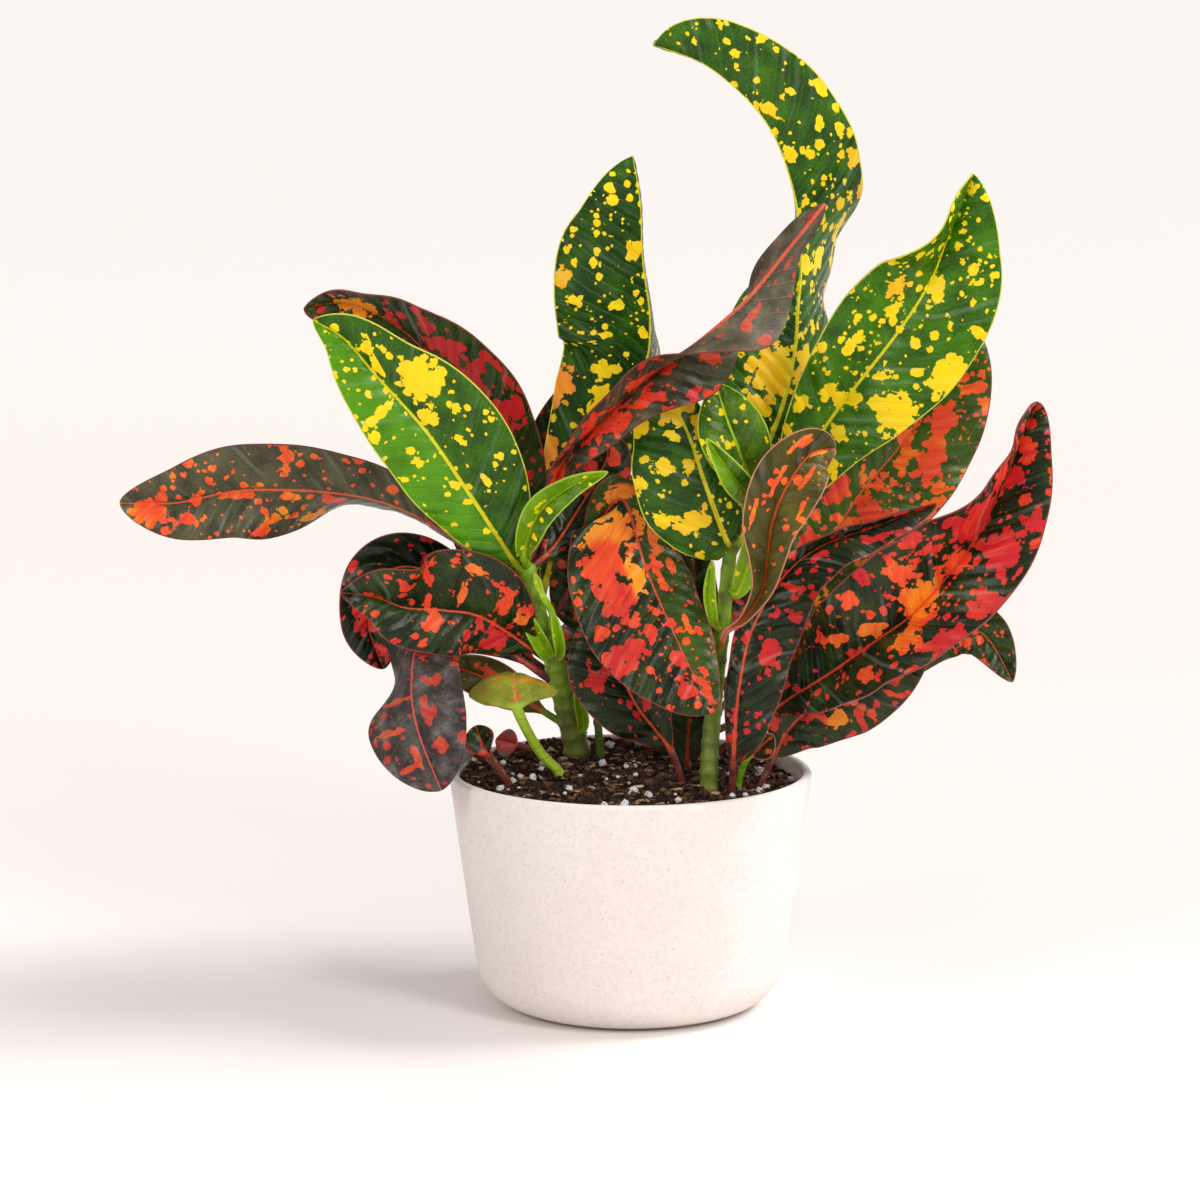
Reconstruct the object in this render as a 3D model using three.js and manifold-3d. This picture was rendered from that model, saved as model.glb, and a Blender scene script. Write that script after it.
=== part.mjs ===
// A young croton with twisted, spotted leaves, in a plain off-white pot.
// Millimetres, +Z up. The origin is the middle of the pot's flat underside, and
// the plant's front is toward -Y.
import * as THREE from 'three';
import Module from 'manifold-3d';

const wasm = await Module();
wasm.setup();

// Driving dimensions of the pot
const RIM_DIAMETER = 145;
const POT_HEIGHT = 95;
const FOOT_DIAMETER = 86;
const CORNER_RADIUS = 19;
const WALL = 3.6;
const FLOOR_THICKNESS = 5;
const POT_SIDES = 64;
const CORNER_STEPS = 7;
const LIP_STEPS = 6;
const FLOOR_EDGE = 2;

// Driving dimensions of the soil
const SOIL_LEVEL = 88;
const SOIL_MOUND = 8;
const MOUND_CENTRE = [-16, 8];
const MOUND_SPREAD = 34;
const SOIL_TILT = 0.02;
const BACK_SLOPE = 0.06;
const LUMP_HEIGHT = 0.9;
const LUMP_WAVE = 0.29;
const GRAIN_WAVE = 0.57;
const GRAIN_SHARE = 0.6;
const SHOULDER_DROP = 2;
const SOIL_SIDES = 40;
const SOIL_RINGS = 7;
const ROOT_DEPTH = 11;
const CLEARANCE = 0.3;

// Driving dimensions of stems and leaves
const STEM_SIDES = 10;
const STEM_STEP = 5;
const JOINT_SWELL = 0.12;
const JOINT_SHARPNESS = 8;
const BLADE_THICKNESS = 0.8;
const RIB_THICKNESS = 1.7;
const STALK_HALF_WIDTH = 1.4;
const STALK_FLATNESS = 0.85;
const STALK_EDGE = 0.6;
const STALK_FADE = 6;
const STALK_LENGTH = 14;
const TIP_HALF_WIDTH = 0.7;
const CURL = 24;
// Columns of points across a blade, as shares of its half widths: left margin, midrib, right margin
const ACROSS = [-1, -0.5, 0, 0.5, 1];
const ROW_SPACING = 14;
const FEWEST_ROWS = 8;
const MOST_ROWS = 14;

// What a leaf's upper face turns to: the front, or the sky on leaves that arch to the back
const FRONT = new THREE.Vector3(0, -1, 0);
const SKY = new THREE.Vector3(0, -0.45, 0.9).normalize();

const finish = (color, roughness) => new THREE.MeshStandardMaterial({ color, roughness, metalness: 0 });
const POT_FINISH = finish(0xe8e0d8, 0.85);
const SOIL_FINISH = finish(0x2a1d14, 0.95);
const STEM_FINISH = finish(0x7d9a2b, 0.55);
const GREEN_LEAF = finish(0x2f6b1c, 0.35);
const RED_LEAF = finish(0x7a2b22, 0.35);
const YOUNG_LEAF = finish(0x86b32e, 0.4);

const part = new THREE.Group();

function addPiece(name, solid, material) {
  const mesh = solid.getMesh();
  const geometry = new THREE.BufferGeometry();
  const stride = mesh.numProp;
  const count = mesh.vertProperties.length / stride;
  const position = new Float32Array(count * 3);
  for (let i = 0; i < count; i += 1) {
    position.set(mesh.vertProperties.subarray(i * stride, i * stride + 3), i * 3);
  }
  geometry.setAttribute('position', new THREE.BufferAttribute(position, 3));
  geometry.setIndex(Array.from(mesh.triVerts));
  geometry.computeVertexNormals();
  const piece = new THREE.Mesh(geometry, material);
  piece.name = name;
  part.add(piece);
}

function solidFrom(points, triangles) {
  let volume = 0;
  for (const [a, b, c] of triangles) {
    volume += points[a].dot(new THREE.Vector3().crossVectors(points[b], points[c]));
  }
  const outward = volume > 0 ? triangles : triangles.map(([a, b, c]) => [a, c, b]);
  const vertProperties = new Float32Array(points.flatMap((p) => [p.x, p.y, p.z]));
  const triVerts = new Uint32Array(outward.flat());
  return new wasm.Manifold(new wasm.Mesh({ numProp: 3, vertProperties, triVerts }));
}

// A smooth curve through rows of numbers, each row a place along it. t runs from 0 to 1.
function along(rows, t) {
  const s = Math.min(Math.max(t, 0), 1) * (rows.length - 1);
  const i = Math.min(Math.floor(s), rows.length - 2);
  const f = s - i;
  const before = rows[Math.max(i - 1, 0)];
  const after = rows[Math.min(i + 2, rows.length - 1)];
  return rows[i].map((p1, k) => {
    const p0 = before[k];
    const p2 = rows[i + 1][k];
    const p3 = after[k];
    return 0.5 * (2 * p1 + (p2 - p0) * f + (2 * p0 - 5 * p1 + 4 * p2 - p3) * f ** 2
      + (3 * p1 - p0 - 3 * p2 + p3) * f ** 3);
  });
}

const place = (row) => new THREE.Vector3(row[0], row[1], row[2]);

function tangentAt(rows, t) {
  const step = 0.004; // a small share of the whole curve
  const ahead = place(along(rows, t + step));
  const behind = place(along(rows, t - step));
  return ahead.sub(behind).normalize();
}

function routeLength(rows) {
  const steps = 60;
  let length = 0;
  for (let i = 0; i < steps; i += 1) {
    length += place(along(rows, i / steps)).distanceTo(place(along(rows, (i + 1) / steps)));
  }
  return length;
}

// Rings of points joined into one closed skin, with a flat cap on each end
function skin(rings) {
  const sides = rings[0].length;
  const triangles = [];
  for (let i = 0; i < rings.length - 1; i += 1) {
    for (let j = 0; j < sides; j += 1) {
      const a = i * sides + j;
      const b = i * sides + (j + 1) % sides;
      triangles.push([a, b, b + sides], [a, b + sides, a + sides]);
    }
  }
  const last = (rings.length - 1) * sides;
  for (let j = 1; j < sides - 1; j += 1) {
    triangles.push([0, j + 1, j], [last, last + j, last + j + 1]);
  }
  return solidFrom(rings.flat(), triangles);
}

// The pot's wall from the foot to the start of the lip, as radius and height: a quarter round
// that turns into a straight taper. An inset gives the wall's inner face, or the soil's.
function wallProfile(inset) {
  const rim = RIM_DIAMETER / 2 - inset;
  const centre = FOOT_DIAMETER / 2;
  const radius = CORNER_RADIUS - inset;
  const rise = POT_HEIGHT - CORNER_RADIUS;
  const run = rim - centre;
  const slope = Math.atan2(rise, run) - Math.acos(radius / Math.hypot(rise, run));
  const points = [];
  for (let i = 0; i <= CORNER_STEPS; i += 1) {
    const angle = -Math.PI / 2 + (slope + Math.PI / 2) * (i / CORNER_STEPS);
    points.push([centre + radius * Math.cos(angle), CORNER_RADIUS + radius * Math.sin(angle)]);
  }
  return points;
}

// A profile of radius and height turned round the z axis, closed by a fan at each end
function turned(profile, sides) {
  const rings = [];
  for (let i = 0; i < sides; i += 1) {
    const angle = (2 * Math.PI * i) / sides;
    rings.push([Math.cos(angle), Math.sin(angle)]);
  }
  const points = [];
  const triangles = [];
  profile.forEach(([radius, height]) => {
    rings.forEach(([c, s]) => points.push(new THREE.Vector3(radius * c, radius * s, height)));
  });
  for (let k = 0; k < profile.length - 1; k += 1) {
    for (let i = 0; i < sides; i += 1) {
      const a = k * sides + i;
      const b = k * sides + (i + 1) % sides;
      triangles.push([a, b, b + sides], [a, b + sides, a + sides]);
    }
  }
  const bottom = points.push(new THREE.Vector3(0, 0, profile[0][1])) - 1;
  const top = points.push(new THREE.Vector3(0, 0, profile[profile.length - 1][1])) - 1;
  const last = (profile.length - 1) * sides;
  for (let i = 0; i < sides; i += 1) {
    const next = (i + 1) % sides;
    triangles.push([bottom, next, i], [top, last + i, last + next]);
  }
  return [points, triangles];
}

// Pot: a turned cup with straight tapered sides, a large rounded foot and a rounded lip
function potSolid() {
  const outer = wallProfile(0);
  const inner = wallProfile(WALL).reverse();
  const rim = RIM_DIAMETER / 2;
  const lipRadius = WALL / 2;
  const lip = [];
  for (let i = 0; i <= LIP_STEPS; i += 1) {
    const angle = (Math.PI * i) / LIP_STEPS;
    const across = rim - lipRadius + lipRadius * Math.cos(angle);
    lip.push([across, POT_HEIGHT - lipRadius + lipRadius * Math.sin(angle)]);
  }
  const inside = inner.filter(([, height]) => height > FLOOR_THICKNESS);
  const floor = [[FOOT_DIAMETER / 2 - FLOOR_EDGE, FLOOR_THICKNESS]];
  return solidFrom(...turned([...outer, ...lip, ...inside, ...floor], POT_SIDES));
}

// Soil: fills the pot, mounded around the stems and higher at the back, with a rough top
function soilHeight(x, y) {
  const spread = Math.hypot(x - MOUND_CENTRE[0], y - MOUND_CENTRE[1]) / MOUND_SPREAD;
  const mound = SOIL_MOUND * Math.exp(-(spread ** 2) / 2);
  const lumps = Math.sin(LUMP_WAVE * x + 1) * Math.cos(LUMP_WAVE * y);
  const grains = GRAIN_SHARE * Math.sin(GRAIN_WAVE * (x - y));
  const slope = BACK_SLOPE * Math.max(y, 0) - SOIL_TILT * x;
  return SOIL_LEVEL + mound + LUMP_HEIGHT * (lumps + grains) + slope;
}

function soilSolid() {
  const side = wallProfile(WALL + CLEARANCE);
  const edge = side[side.length - 1];
  const rimInside = RIM_DIAMETER / 2 - WALL - CLEARANCE;
  const rise = (SOIL_LEVEL - SHOULDER_DROP - edge[1]) / (POT_HEIGHT - edge[1]);
  const shoulder = THREE.MathUtils.lerp(edge[0], rimInside, rise);
  const bottom = FLOOR_THICKNESS + CLEARANCE;
  const lower = side.filter(([, height]) => height > bottom);
  const profile = [[FOOT_DIAMETER / 2 - FLOOR_EDGE - CLEARANCE, bottom], ...lower];
  for (let k = 0; k < SOIL_RINGS; k += 1) {
    profile.push([shoulder * (1 - k / SOIL_RINGS), SOIL_LEVEL]);
  }
  const [points, triangles] = turned(profile, SOIL_SIDES);
  points.forEach((p) => {
    if (p.z >= SOIL_LEVEL) p.z = soilHeight(p.x, p.y);
  });
  return solidFrom(points, triangles);
}

// Stems: a tapered stalk, a little thicker at each leaf joint
const STEMS = {
  left_stem: {
    route: [[-19, 14, 72], [-21, 13, 97], [-26, 12, 119], [-31, 9, 139], [-38, 5, 160], [-41, 2, 178]],
    thick: 5.6,
    thin: 3.1,
    joints: 9,
  },
  right_stem: {
    route: [[31, -14, 68], [31, -14, 92], [32, -12, 112], [34, -9, 133], [37, -6, 160], [40, -4, 190],
      [42, -4, 206]],
    thick: 3.9,
    thin: 2.4,
    joints: 10,
  },
  side_shoot: {
    route: [[-11, 12, 72], [-12, 11, 98], [-13, 9, 112], [-15, 9, 130], [-13, 10, 146]],
    thick: 1.9,
    thin: 1.2,
    joints: 4,
  },
};

function stemSolid({ route, thick, thin, joints }, grow) {
  const steps = Math.round(routeLength(route) / STEM_STEP);
  const rings = [];
  for (let i = 0; i <= steps; i += 1) {
    const t = i / steps;
    const centre = place(along(route, t));
    const tangent = tangentAt(route, t);
    const across = new THREE.Vector3().crossVectors(tangent, FRONT).normalize();
    const forward = new THREE.Vector3().crossVectors(across, tangent);
    const joint = Math.cos(2 * Math.PI * joints * t) ** JOINT_SHARPNESS;
    const radius = THREE.MathUtils.lerp(thick, thin, t) * (1 + JOINT_SWELL * joint) + grow;
    const ring = [];
    for (let j = 0; j < STEM_SIDES; j += 1) {
      const angle = (2 * Math.PI * j) / STEM_SIDES;
      const point = centre.clone();
      point.addScaledVector(across, radius * Math.cos(angle));
      point.addScaledVector(forward, radius * Math.sin(angle));
      ring.push(point);
    }
    rings.push(ring);
  }
  return skin(rings);
}

// Leaves: each row of a leaf is a place on its midrib, x, y, z, and the lean of its left and
// right half blades in degrees: 0 toward what the leaf faces, 90 flat sideways, 180 away from
// it. left and right, as seen from the leaf's face with its tip up, are the greatest widths of
// the half blades. widest is where that is, along the blade, and a low full keeps it wide for longer.
const LEAVES = [
  { name: 'leaf_crown', from: 'right_stem', at: 0.93, left: 35, right: 31, widest: 0.56, full: 0.42,
    finish: GREEN_LEAF, stalk: 10,
    rows: [[51, 20, 213, 80, 90], [61, 26, 238, 85, 120], [66, 28, 260, 95, 145], [67, 28, 276, 135, 155],
      [68, 28, 298, 170, 150], [64, 26, 325, 200, 105], [53, 22, 351, 205, 90], [31, 16, 372, 200, 85],
      [9, 10, 381, 190, 80]] },
  { name: 'leaf_upper_left', from: 'left_stem', at: 0.93, left: 38, right: 32, widest: 0.64, full: 0.55,
    finish: GREEN_LEAF,
    rows: [[-33, 14, 182, 80, 90], [-22, 22, 206, 80, 105], [-6, 26, 232, 85, 140], [6, 24, 254, 85, 170],
      [8, 22, 273, 85, 185], [5, 18, 297, 85, 190], [4, 14, 319, 80, 190], [1, 10, 338, 80, 190]] },
  { name: 'leaf_twisted', from: 'left_stem', at: 1, left: 20, right: 20, widest: 0.6, full: 0.6,
    finish: RED_LEAF, stalk: 24,
    rows: [[-34, 1, 193, 50, 50], [-27, -15, 219, 25, 40], [-11, -23, 238, 25, 40], [7, -26, 255, 25, 50],
      [27, -26, 269, -10, 110], [44, -24, 284, -90, 170], [60, -20, 303, -145, 205],
      [75, -14, 321, -140, 210]] },
  { name: 'leaf_upper_right', from: 'right_stem', at: 0.88, left: 27, right: 31, widest: 0.6, full: 0.65,
    finish: GREEN_LEAF,
    rows: [[58, 8, 199, 80, 80], [77, 8, 231, 75, 70], [89, 5, 248, 75, 70], [105, 0, 270, 75, 85],
      [117, -4, 290, 60, 80], [124, -6, 309, 20, 75], [133, -6, 332, 20, 75]] },
  { name: 'leaf_left_front', from: 'left_stem', at: 0.88, left: 21, right: 29, widest: 0.48, full: 0.7,
    finish: GREEN_LEAF,
    rows: [[-51, -10, 188, 85, 80], [-65, -18, 211, 85, 80], [-80, -24, 234, 85, 75], [-98, -28, 255, 80, 65],
      [-111, -28, 270, 80, 60], [-123, -27, 277, 80, 60]] },
  { name: 'leaf_behind_left', from: 'left_stem', at: 0.84, left: 15, right: 20, widest: 0.5, full: 0.7,
    finish: RED_LEAF,
    rows: [[-38, 18, 178, 80, 80], [-32, 30, 202, 80, 85], [-26, 36, 223, 80, 85], [-16, 39, 243, 80, 80],
      [-8, 39, 263, 80, 80]] },
  { name: 'leaf_left_red', from: 'left_stem', at: 0.8, left: 24, right: 27, widest: 0.45, full: 0.5,
    finish: RED_LEAF,
    rows: [[-50, 12, 176, 90, 80], [-56, 19, 207, 90, 75], [-66, 22, 237, 95, 65], [-79, 24, 256, 95, 50],
      [-92, 26, 269, 95, 35], [-112, 26, 279, 95, 25], [-130, 23, 277, 100, 30]] },
  { name: 'leaf_far_left', from: 'left_stem', at: 0.76, left: 20, right: 20, widest: 0.66, full: 0.6,
    finish: RED_LEAF,
    rows: [[-52, 2, 166, 160, 80], [-66, 4, 184, 165, 80], [-92, 6, 199, 168, 75], [-119, 8, 205, 150, 75],
      [-154, 8, 206, 70, 75], [-181, 8, 201, 75, 75], [-203, 8, 201, 75, 75]] },
  { name: 'leaf_curled_left', from: 'left_stem', at: 0.56, left: 18, right: 26, widest: 0.5, full: 0.7,
    finish: RED_LEAF,
    rows: [[-57, -10, 157, 80, 85], [-73, -18, 162, 80, 80], [-88, -24, 164, 75, 70],
      [-100, -28, 169, 60, 60], [-113, -30, 171, 60, 60]] },
  { name: 'leaf_round_left', from: 'left_stem', at: 0.62, left: 18, right: 15, widest: 0.62, full: 0.6,
    finish: RED_LEAF,
    rows: [[-56, 10, 159, 80, 80], [-84, 6, 175, 70, 80], [-99, 2, 172, 60, 70], [-104, -2, 154, 80, 60],
      [-98, -3, 136, 80, 60]] },
  { name: 'leaf_hanging_left', from: 'left_stem', at: 0.46, left: 21, right: 20, widest: 0.72, full: 0.55,
    finish: RED_LEAF,
    rows: [[-50, 2, 143, 80, 100], [-68, -3, 151, 80, 120], [-83, -16, 149, 80, 150],
      [-86, -28, 134, 80, 150], [-83, -36, 117, 85, 85], [-74, -42, 95, 85, 85]] },
  { name: 'leaf_low_left', from: 'left_stem', at: 0.3, left: 9, right: 9, widest: 0.5, full: 0.7,
    finish: GREEN_LEAF,
    rows: [[-46, 12, 123, 80, 80], [-60, 9, 131, 80, 80], [-79, 4, 138, 80, 80]] },
  { name: 'leaf_umbrella', from: 'soil', at: [-28, -15], left: 19, right: 19, widest: 0.42, full: 0.5,
    finish: YOUNG_LEAF, facing: SKY, stalk: 36, stalkHalf: 2.2,
    rows: [[-36, -17, 105, 90, 90], [-44, -21, 121, 95, 95], [-46, -16, 131, 105, 105],
      [-46, -8, 135, 110, 110], [-45, -1, 134, 110, 110]] },
  { name: 'leaf_brown_low', from: 'soil', at: [-48, -24], left: 6, right: 6, widest: 0.6, full: 0.7,
    finish: RED_LEAF, stalk: 15, stalkHalf: 1.8,
    rows: [[-53, -24, 101, 80, 80], [-58, -22, 108, 80, 80], [-61, -18, 116, 80, 80]] },
  { name: 'leaf_rim_left', from: 'soil', at: [-52, 4], left: 7, right: 7, widest: 0.5, full: 0.7,
    finish: RED_LEAF,
    rows: [[-58, 2, 98, 80, 80], [-64, 0, 102, 80, 80], [-71, -2, 105, 80, 80]] },
  { name: 'leaf_pink_low', from: 'soil', at: [-34, 12], left: 6, right: 6, widest: 0.5, full: 0.7,
    finish: RED_LEAF,
    rows: [[-44, 10, 102, 80, 80], [-54, 8, 105, 80, 80]] },
  { name: 'leaf_under_front', from: 'soil', at: [20, -14], left: 20, right: 20, widest: 0.6, full: 0.65,
    finish: RED_LEAF,
    rows: [[16, -14, 105, 85, 85], [9, -12, 114, 85, 85], [2, -10, 123, 85, 85], [-7, -3, 140, 85, 85],
      [-16, 4, 157, 85, 85]] },
  { name: 'leaf_inner_low', from: 'soil', at: [8, 26], left: 19, right: 19, widest: 0.55, full: 0.6,
    finish: RED_LEAF,
    rows: [[8, 28, 106, 85, 85], [7, 31, 122, 85, 85], [5, 33, 140, 85, 85], [4, 33, 160, 85, 85]] },
  { name: 'leaf_inner_right', from: 'soil', at: [23, 8], left: 16, right: 11, widest: 0.5, full: 0.5,
    finish: RED_LEAF, stalk: 4,
    rows: [[23, 11, 98, 85, 85], [24, 14, 118, 85, 85], [25, 16, 142, 85, 85], [26, 15, 166, 85, 85],
      [25, 12, 188, 85, 85]] },
  { name: 'leaf_inner_left', from: 'side_shoot', at: 0.9, left: 14, right: 12, widest: 0.5, full: 0.55,
    finish: RED_LEAF, stalk: 7,
    rows: [[-14, 15, 148, 85, 85], [-17, 17, 158, 85, 85], [-20, 17, 170, 85, 85], [-23, 16, 182, 85, 85]] },
  { name: 'leaf_front', from: 'left_stem', at: 0.7, left: 16, right: 33, widest: 0.58, full: 0.6,
    finish: RED_LEAF, stalk: 34,
    rows: [[-24, 8, 166, 80, 80], [-14, 8, 190, 90, 90], [-3, 3, 203, 100, 95], [6, -6, 177, 110, 90],
      [17, -20, 153, 110, 85], [27, -31, 134, 105, 80], [33, -35, 125, 95, 80]] },
  { name: 'leaf_red_loop', from: 'left_stem', at: 0.95, left: 13, right: 14, widest: 0.6, full: 0.5,
    finish: RED_LEAF, stalk: 6,
    rows: [[-31, 7, 183, 90, 95], [-23, 14, 194, 95, 90], [-14, 13, 209, 95, 80],
      [-9, 5, 221, 100, 70], [-12, 1, 228, 100, 80]] },
  { name: 'leaf_young_left', from: 'left_stem', at: 0.96, left: 8, right: 7, widest: 0.45, full: 0.7,
    finish: YOUNG_LEAF,
    rows: [[-42, -12, 184, 50, 60], [-36, -22, 201, 50, 60], [-24, -27, 212, 50, 60],
      [-9, -28, 218, 50, 60]] },
  { name: 'leaf_centre', from: 'right_stem', at: 0.82, left: 28, right: 12, widest: 0.36, full: 0.6,
    finish: GREEN_LEAF, stalk: 5,
    rows: [[38, -11, 188, 90, 100], [33, -16, 201, 100, 110], [28, -18, 215, 100, 110],
      [23, -18, 230, 100, 105], [16, -15, 245, 95, 95], [9, -11, 260, 85, 85]] },
  { name: 'leaf_young_top', from: 'right_stem', at: 1, left: 14, right: 14, widest: 0.5, full: 0.7,
    finish: YOUNG_LEAF,
    rows: [[46, -12, 213, 60, 70], [42, -24, 226, 70, 75], [37, -25, 239, 75, 75], [33, -22, 252, 75, 75]] },
  { name: 'leaf_young_folded', from: 'right_stem', at: 0.95, left: 7, right: 6, widest: 0.5, full: 0.7,
    finish: YOUNG_LEAF, stalk: 10,
    rows: [[47, -15, 205, 50, 60], [38, -33, 219, 50, 60], [29, -36, 232, 50, 60]] },
  { name: 'leaf_young_tip', from: 'right_stem', at: 0.94, left: 6, right: 6, widest: 0.5, full: 0.7,
    finish: YOUNG_LEAF, stalk: 6,
    rows: [[50, -5, 210, 60, 60], [52, -10, 227, 60, 60]] },
  { name: 'leaf_spiral', from: 'right_stem', at: 0.55, left: 15, right: 14, widest: 0.72, full: 0.8,
    finish: GREEN_LEAF, stalk: 8,
    rows: [[37, -19, 153, 60, 50], [44, -27, 160, 55, 45], [51, -31, 172, 50, 45], [53, -33, 186, 55, 50],
      [55, -33, 200, 70, 60], [61, -31, 214, 75, 70], [70, -26, 225, 70, 70], [80, -17, 226, 60, 60]] },
  { name: 'leaf_arched_red', from: 'soil', at: [40, -22], left: 6, right: 19, widest: 0.38, full: 0.6,
    finish: RED_LEAF,
    rows: [[41, -23, 114, 95, 90], [43, -22, 135, 100, 90], [48, -17, 155, 105, 80], [60, -11, 174, 80, 50],
      [75, -3, 185, 60, 40], [97, 5, 192, 60, 40], [122, 12, 200, 60, 50]] },
  { name: 'leaf_right_back', from: 'right_stem', at: 0.45, left: 26, right: 29, widest: 0.6, full: 0.55,
    finish: GREEN_LEAF,
    rows: [[52, 6, 146, 85, 85], [63, 12, 159, 85, 80], [79, 20, 182, 85, 80], [93, 26, 203, 85, 80],
      [108, 31, 220, 85, 80], [124, 33, 243, 85, 80], [137, 33, 269, 85, 80]] },
  { name: 'leaf_right_red', from: 'right_stem', at: 0.25, left: 31, right: 27, widest: 0.55, full: 0.6,
    finish: RED_LEAF, stalk: 30,
    rows: [[48, -7, 113, 115, 40], [62, -9, 124, 115, 35], [78, -25, 138, 108, 30], [94, -40, 153, 80, 30],
      [110, -48, 167, 75, 35], [129, -52, 191, 50, 55], [139, -50, 209, 20, 60], [148, -42, 230, 15, 60],
      [157, -36, 246, 40, 60]] },
  { name: 'leaf_right_low', from: 'soil', at: [52, -8], left: 16, right: 20, widest: 0.5, full: 0.65,
    finish: RED_LEAF,
    rows: [[60, -3, 106, 80, 85], [67, 0, 115, 85, 90], [80, 0, 125, 90, 90], [99, -5, 136, 90, 85],
      [118, -12, 147, 80, 80]] },
  { name: 'leaf_right_hidden', from: 'right_stem', at: 0.33, left: 14, right: 14, widest: 0.6, full: 0.65,
    finish: RED_LEAF,
    rows: [[68, 10, 125, 85, 85], [100, 16, 138, 85, 85], [126, 16, 150, 85, 85], [142, 12, 147, 85, 80],
      [153, 6, 129, 80, 80]] },
  { name: 'leaf_streaked_low', from: 'soil', at: [43, -6], left: 6, right: 6, widest: 0.5, full: 0.7,
    finish: GREEN_LEAF,
    rows: [[46, -8, 100, 80, 80], [51, -8, 105, 80, 80], [57, -8, 110, 80, 80]] },
  { name: 'leaf_back_left_top', from: 'left_stem', at: 0.74, left: 20, right: 20, widest: 0.55, full: 0.65,
    finish: GREEN_LEAF, facing: SKY,
    rows: [[-50, 20, 168, 90, 90], [-57, 44, 204, 95, 95], [-69, 68, 230, 95, 95], [-84, 86, 238, 95, 95],
      [-98, 100, 232, 95, 95]] },
  { name: 'leaf_back_left', from: 'left_stem', at: 0.64, left: 22, right: 22, widest: 0.55, full: 0.65,
    finish: RED_LEAF, facing: SKY,
    rows: [[-46, 24, 154, 90, 90], [-54, 52, 188, 95, 95], [-66, 82, 210, 95, 95], [-78, 106, 210, 95, 95]] },
  { name: 'leaf_back_left_low', from: 'left_stem', at: 0.5, left: 16, right: 16, widest: 0.55, full: 0.65,
    finish: RED_LEAF, facing: SKY,
    rows: [[-49, 26, 142, 90, 90], [-66, 50, 157, 95, 95], [-84, 74, 162, 95, 95], [-98, 92, 156, 95, 95]] },
  { name: 'leaf_back_centre_left', from: 'left_stem', at: 0.76, left: 20, right: 20, widest: 0.6, full: 0.65,
    finish: GREEN_LEAF, facing: SKY,
    rows: [[-33, 24, 170, 90, 90], [-24, 54, 204, 95, 95], [-10, 84, 232, 95, 95], [2, 108, 244, 95, 95],
      [9, 126, 240, 95, 95]] },
  { name: 'leaf_back_low', from: 'left_stem', at: 0.28, left: 16, right: 16, widest: 0.55, full: 0.65,
    finish: RED_LEAF, facing: SKY,
    rows: [[-18, 36, 128, 90, 90], [-12, 62, 142, 95, 95], [-4, 86, 144, 95, 95], [2, 102, 134, 95, 95]] },
  { name: 'leaf_back_centre', from: 'right_stem', at: 0.8, left: 22, right: 22, widest: 0.55, full: 0.65,
    finish: RED_LEAF, facing: SKY,
    rows: [[32, 24, 200, 90, 90], [29, 60, 219, 95, 95], [25, 92, 226, 95, 95], [19, 118, 218, 95, 95]] },
  { name: 'leaf_back_right_top', from: 'right_stem', at: 0.77, left: 24, right: 24, widest: 0.55, full: 0.65,
    finish: GREEN_LEAF, facing: SKY,
    rows: [[56, 36, 199, 90, 90], [84, 66, 228, 95, 95], [105, 94, 240, 95, 95], [121, 118, 232, 95, 95]] },
  { name: 'leaf_back_right', from: 'right_stem', at: 0.6, left: 22, right: 22, widest: 0.55, full: 0.65,
    finish: RED_LEAF, facing: SKY,
    rows: [[56, 32, 164, 90, 90], [90, 58, 178, 95, 95], [120, 84, 180, 95, 95], [140, 106, 168, 95, 95]] },
  { name: 'leaf_back_right_low', from: 'right_stem', at: 0.38, left: 16, right: 16, widest: 0.55, full: 0.65,
    finish: RED_LEAF, facing: SKY,
    rows: [[52, 28, 130, 90, 90], [78, 54, 146, 95, 95], [100, 78, 147, 95, 95], [116, 96, 136, 95, 95]] },
];

// Where a leaf starts: inside the stem that bears it, or sunk in a hole in the soil
function rootOf(leaf) {
  const [, , , leftLean, rightLean] = leaf.rows[0];
  if (leaf.from !== 'soil') {
    return [[...along(STEMS[leaf.from].route, leaf.at), leftLean, rightLean]];
  }
  const [x, y] = leaf.at;
  const ground = soilHeight(x, y);
  return [[x, y, ground - ROOT_DEPTH, leftLean, rightLean], [x, y, ground + 1, leftLean, rightLean]];
}

// How wide a half blade is along its length, from 0 to 1: narrow at both ends and full between
function bladeWidth(leaf, u) {
  const bend = Math.log(0.5) / Math.log(leaf.widest);
  return Math.sin(Math.PI * Math.min(Math.max(u, 0), 1) ** bend) ** leaf.full;
}

// One half blade across the leaf: it leaves the midrib and bends evenly by the curl
function halfBlade(forward, side, lean, curl, width, reach) {
  const start = THREE.MathUtils.degToRad(lean - curl / 2);
  const bend = THREE.MathUtils.degToRad(curl);
  const angle = start + bend * reach;
  const out = (Math.cos(start) - Math.cos(angle)) / bend;
  const toFront = (Math.sin(angle) - Math.sin(start)) / bend;
  return {
    offset: forward.clone().multiplyScalar(toFront * width).addScaledVector(side, out * width),
    normal: forward.clone().multiplyScalar(Math.sin(angle)).addScaledVector(side, -Math.cos(angle)),
  };
}

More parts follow.
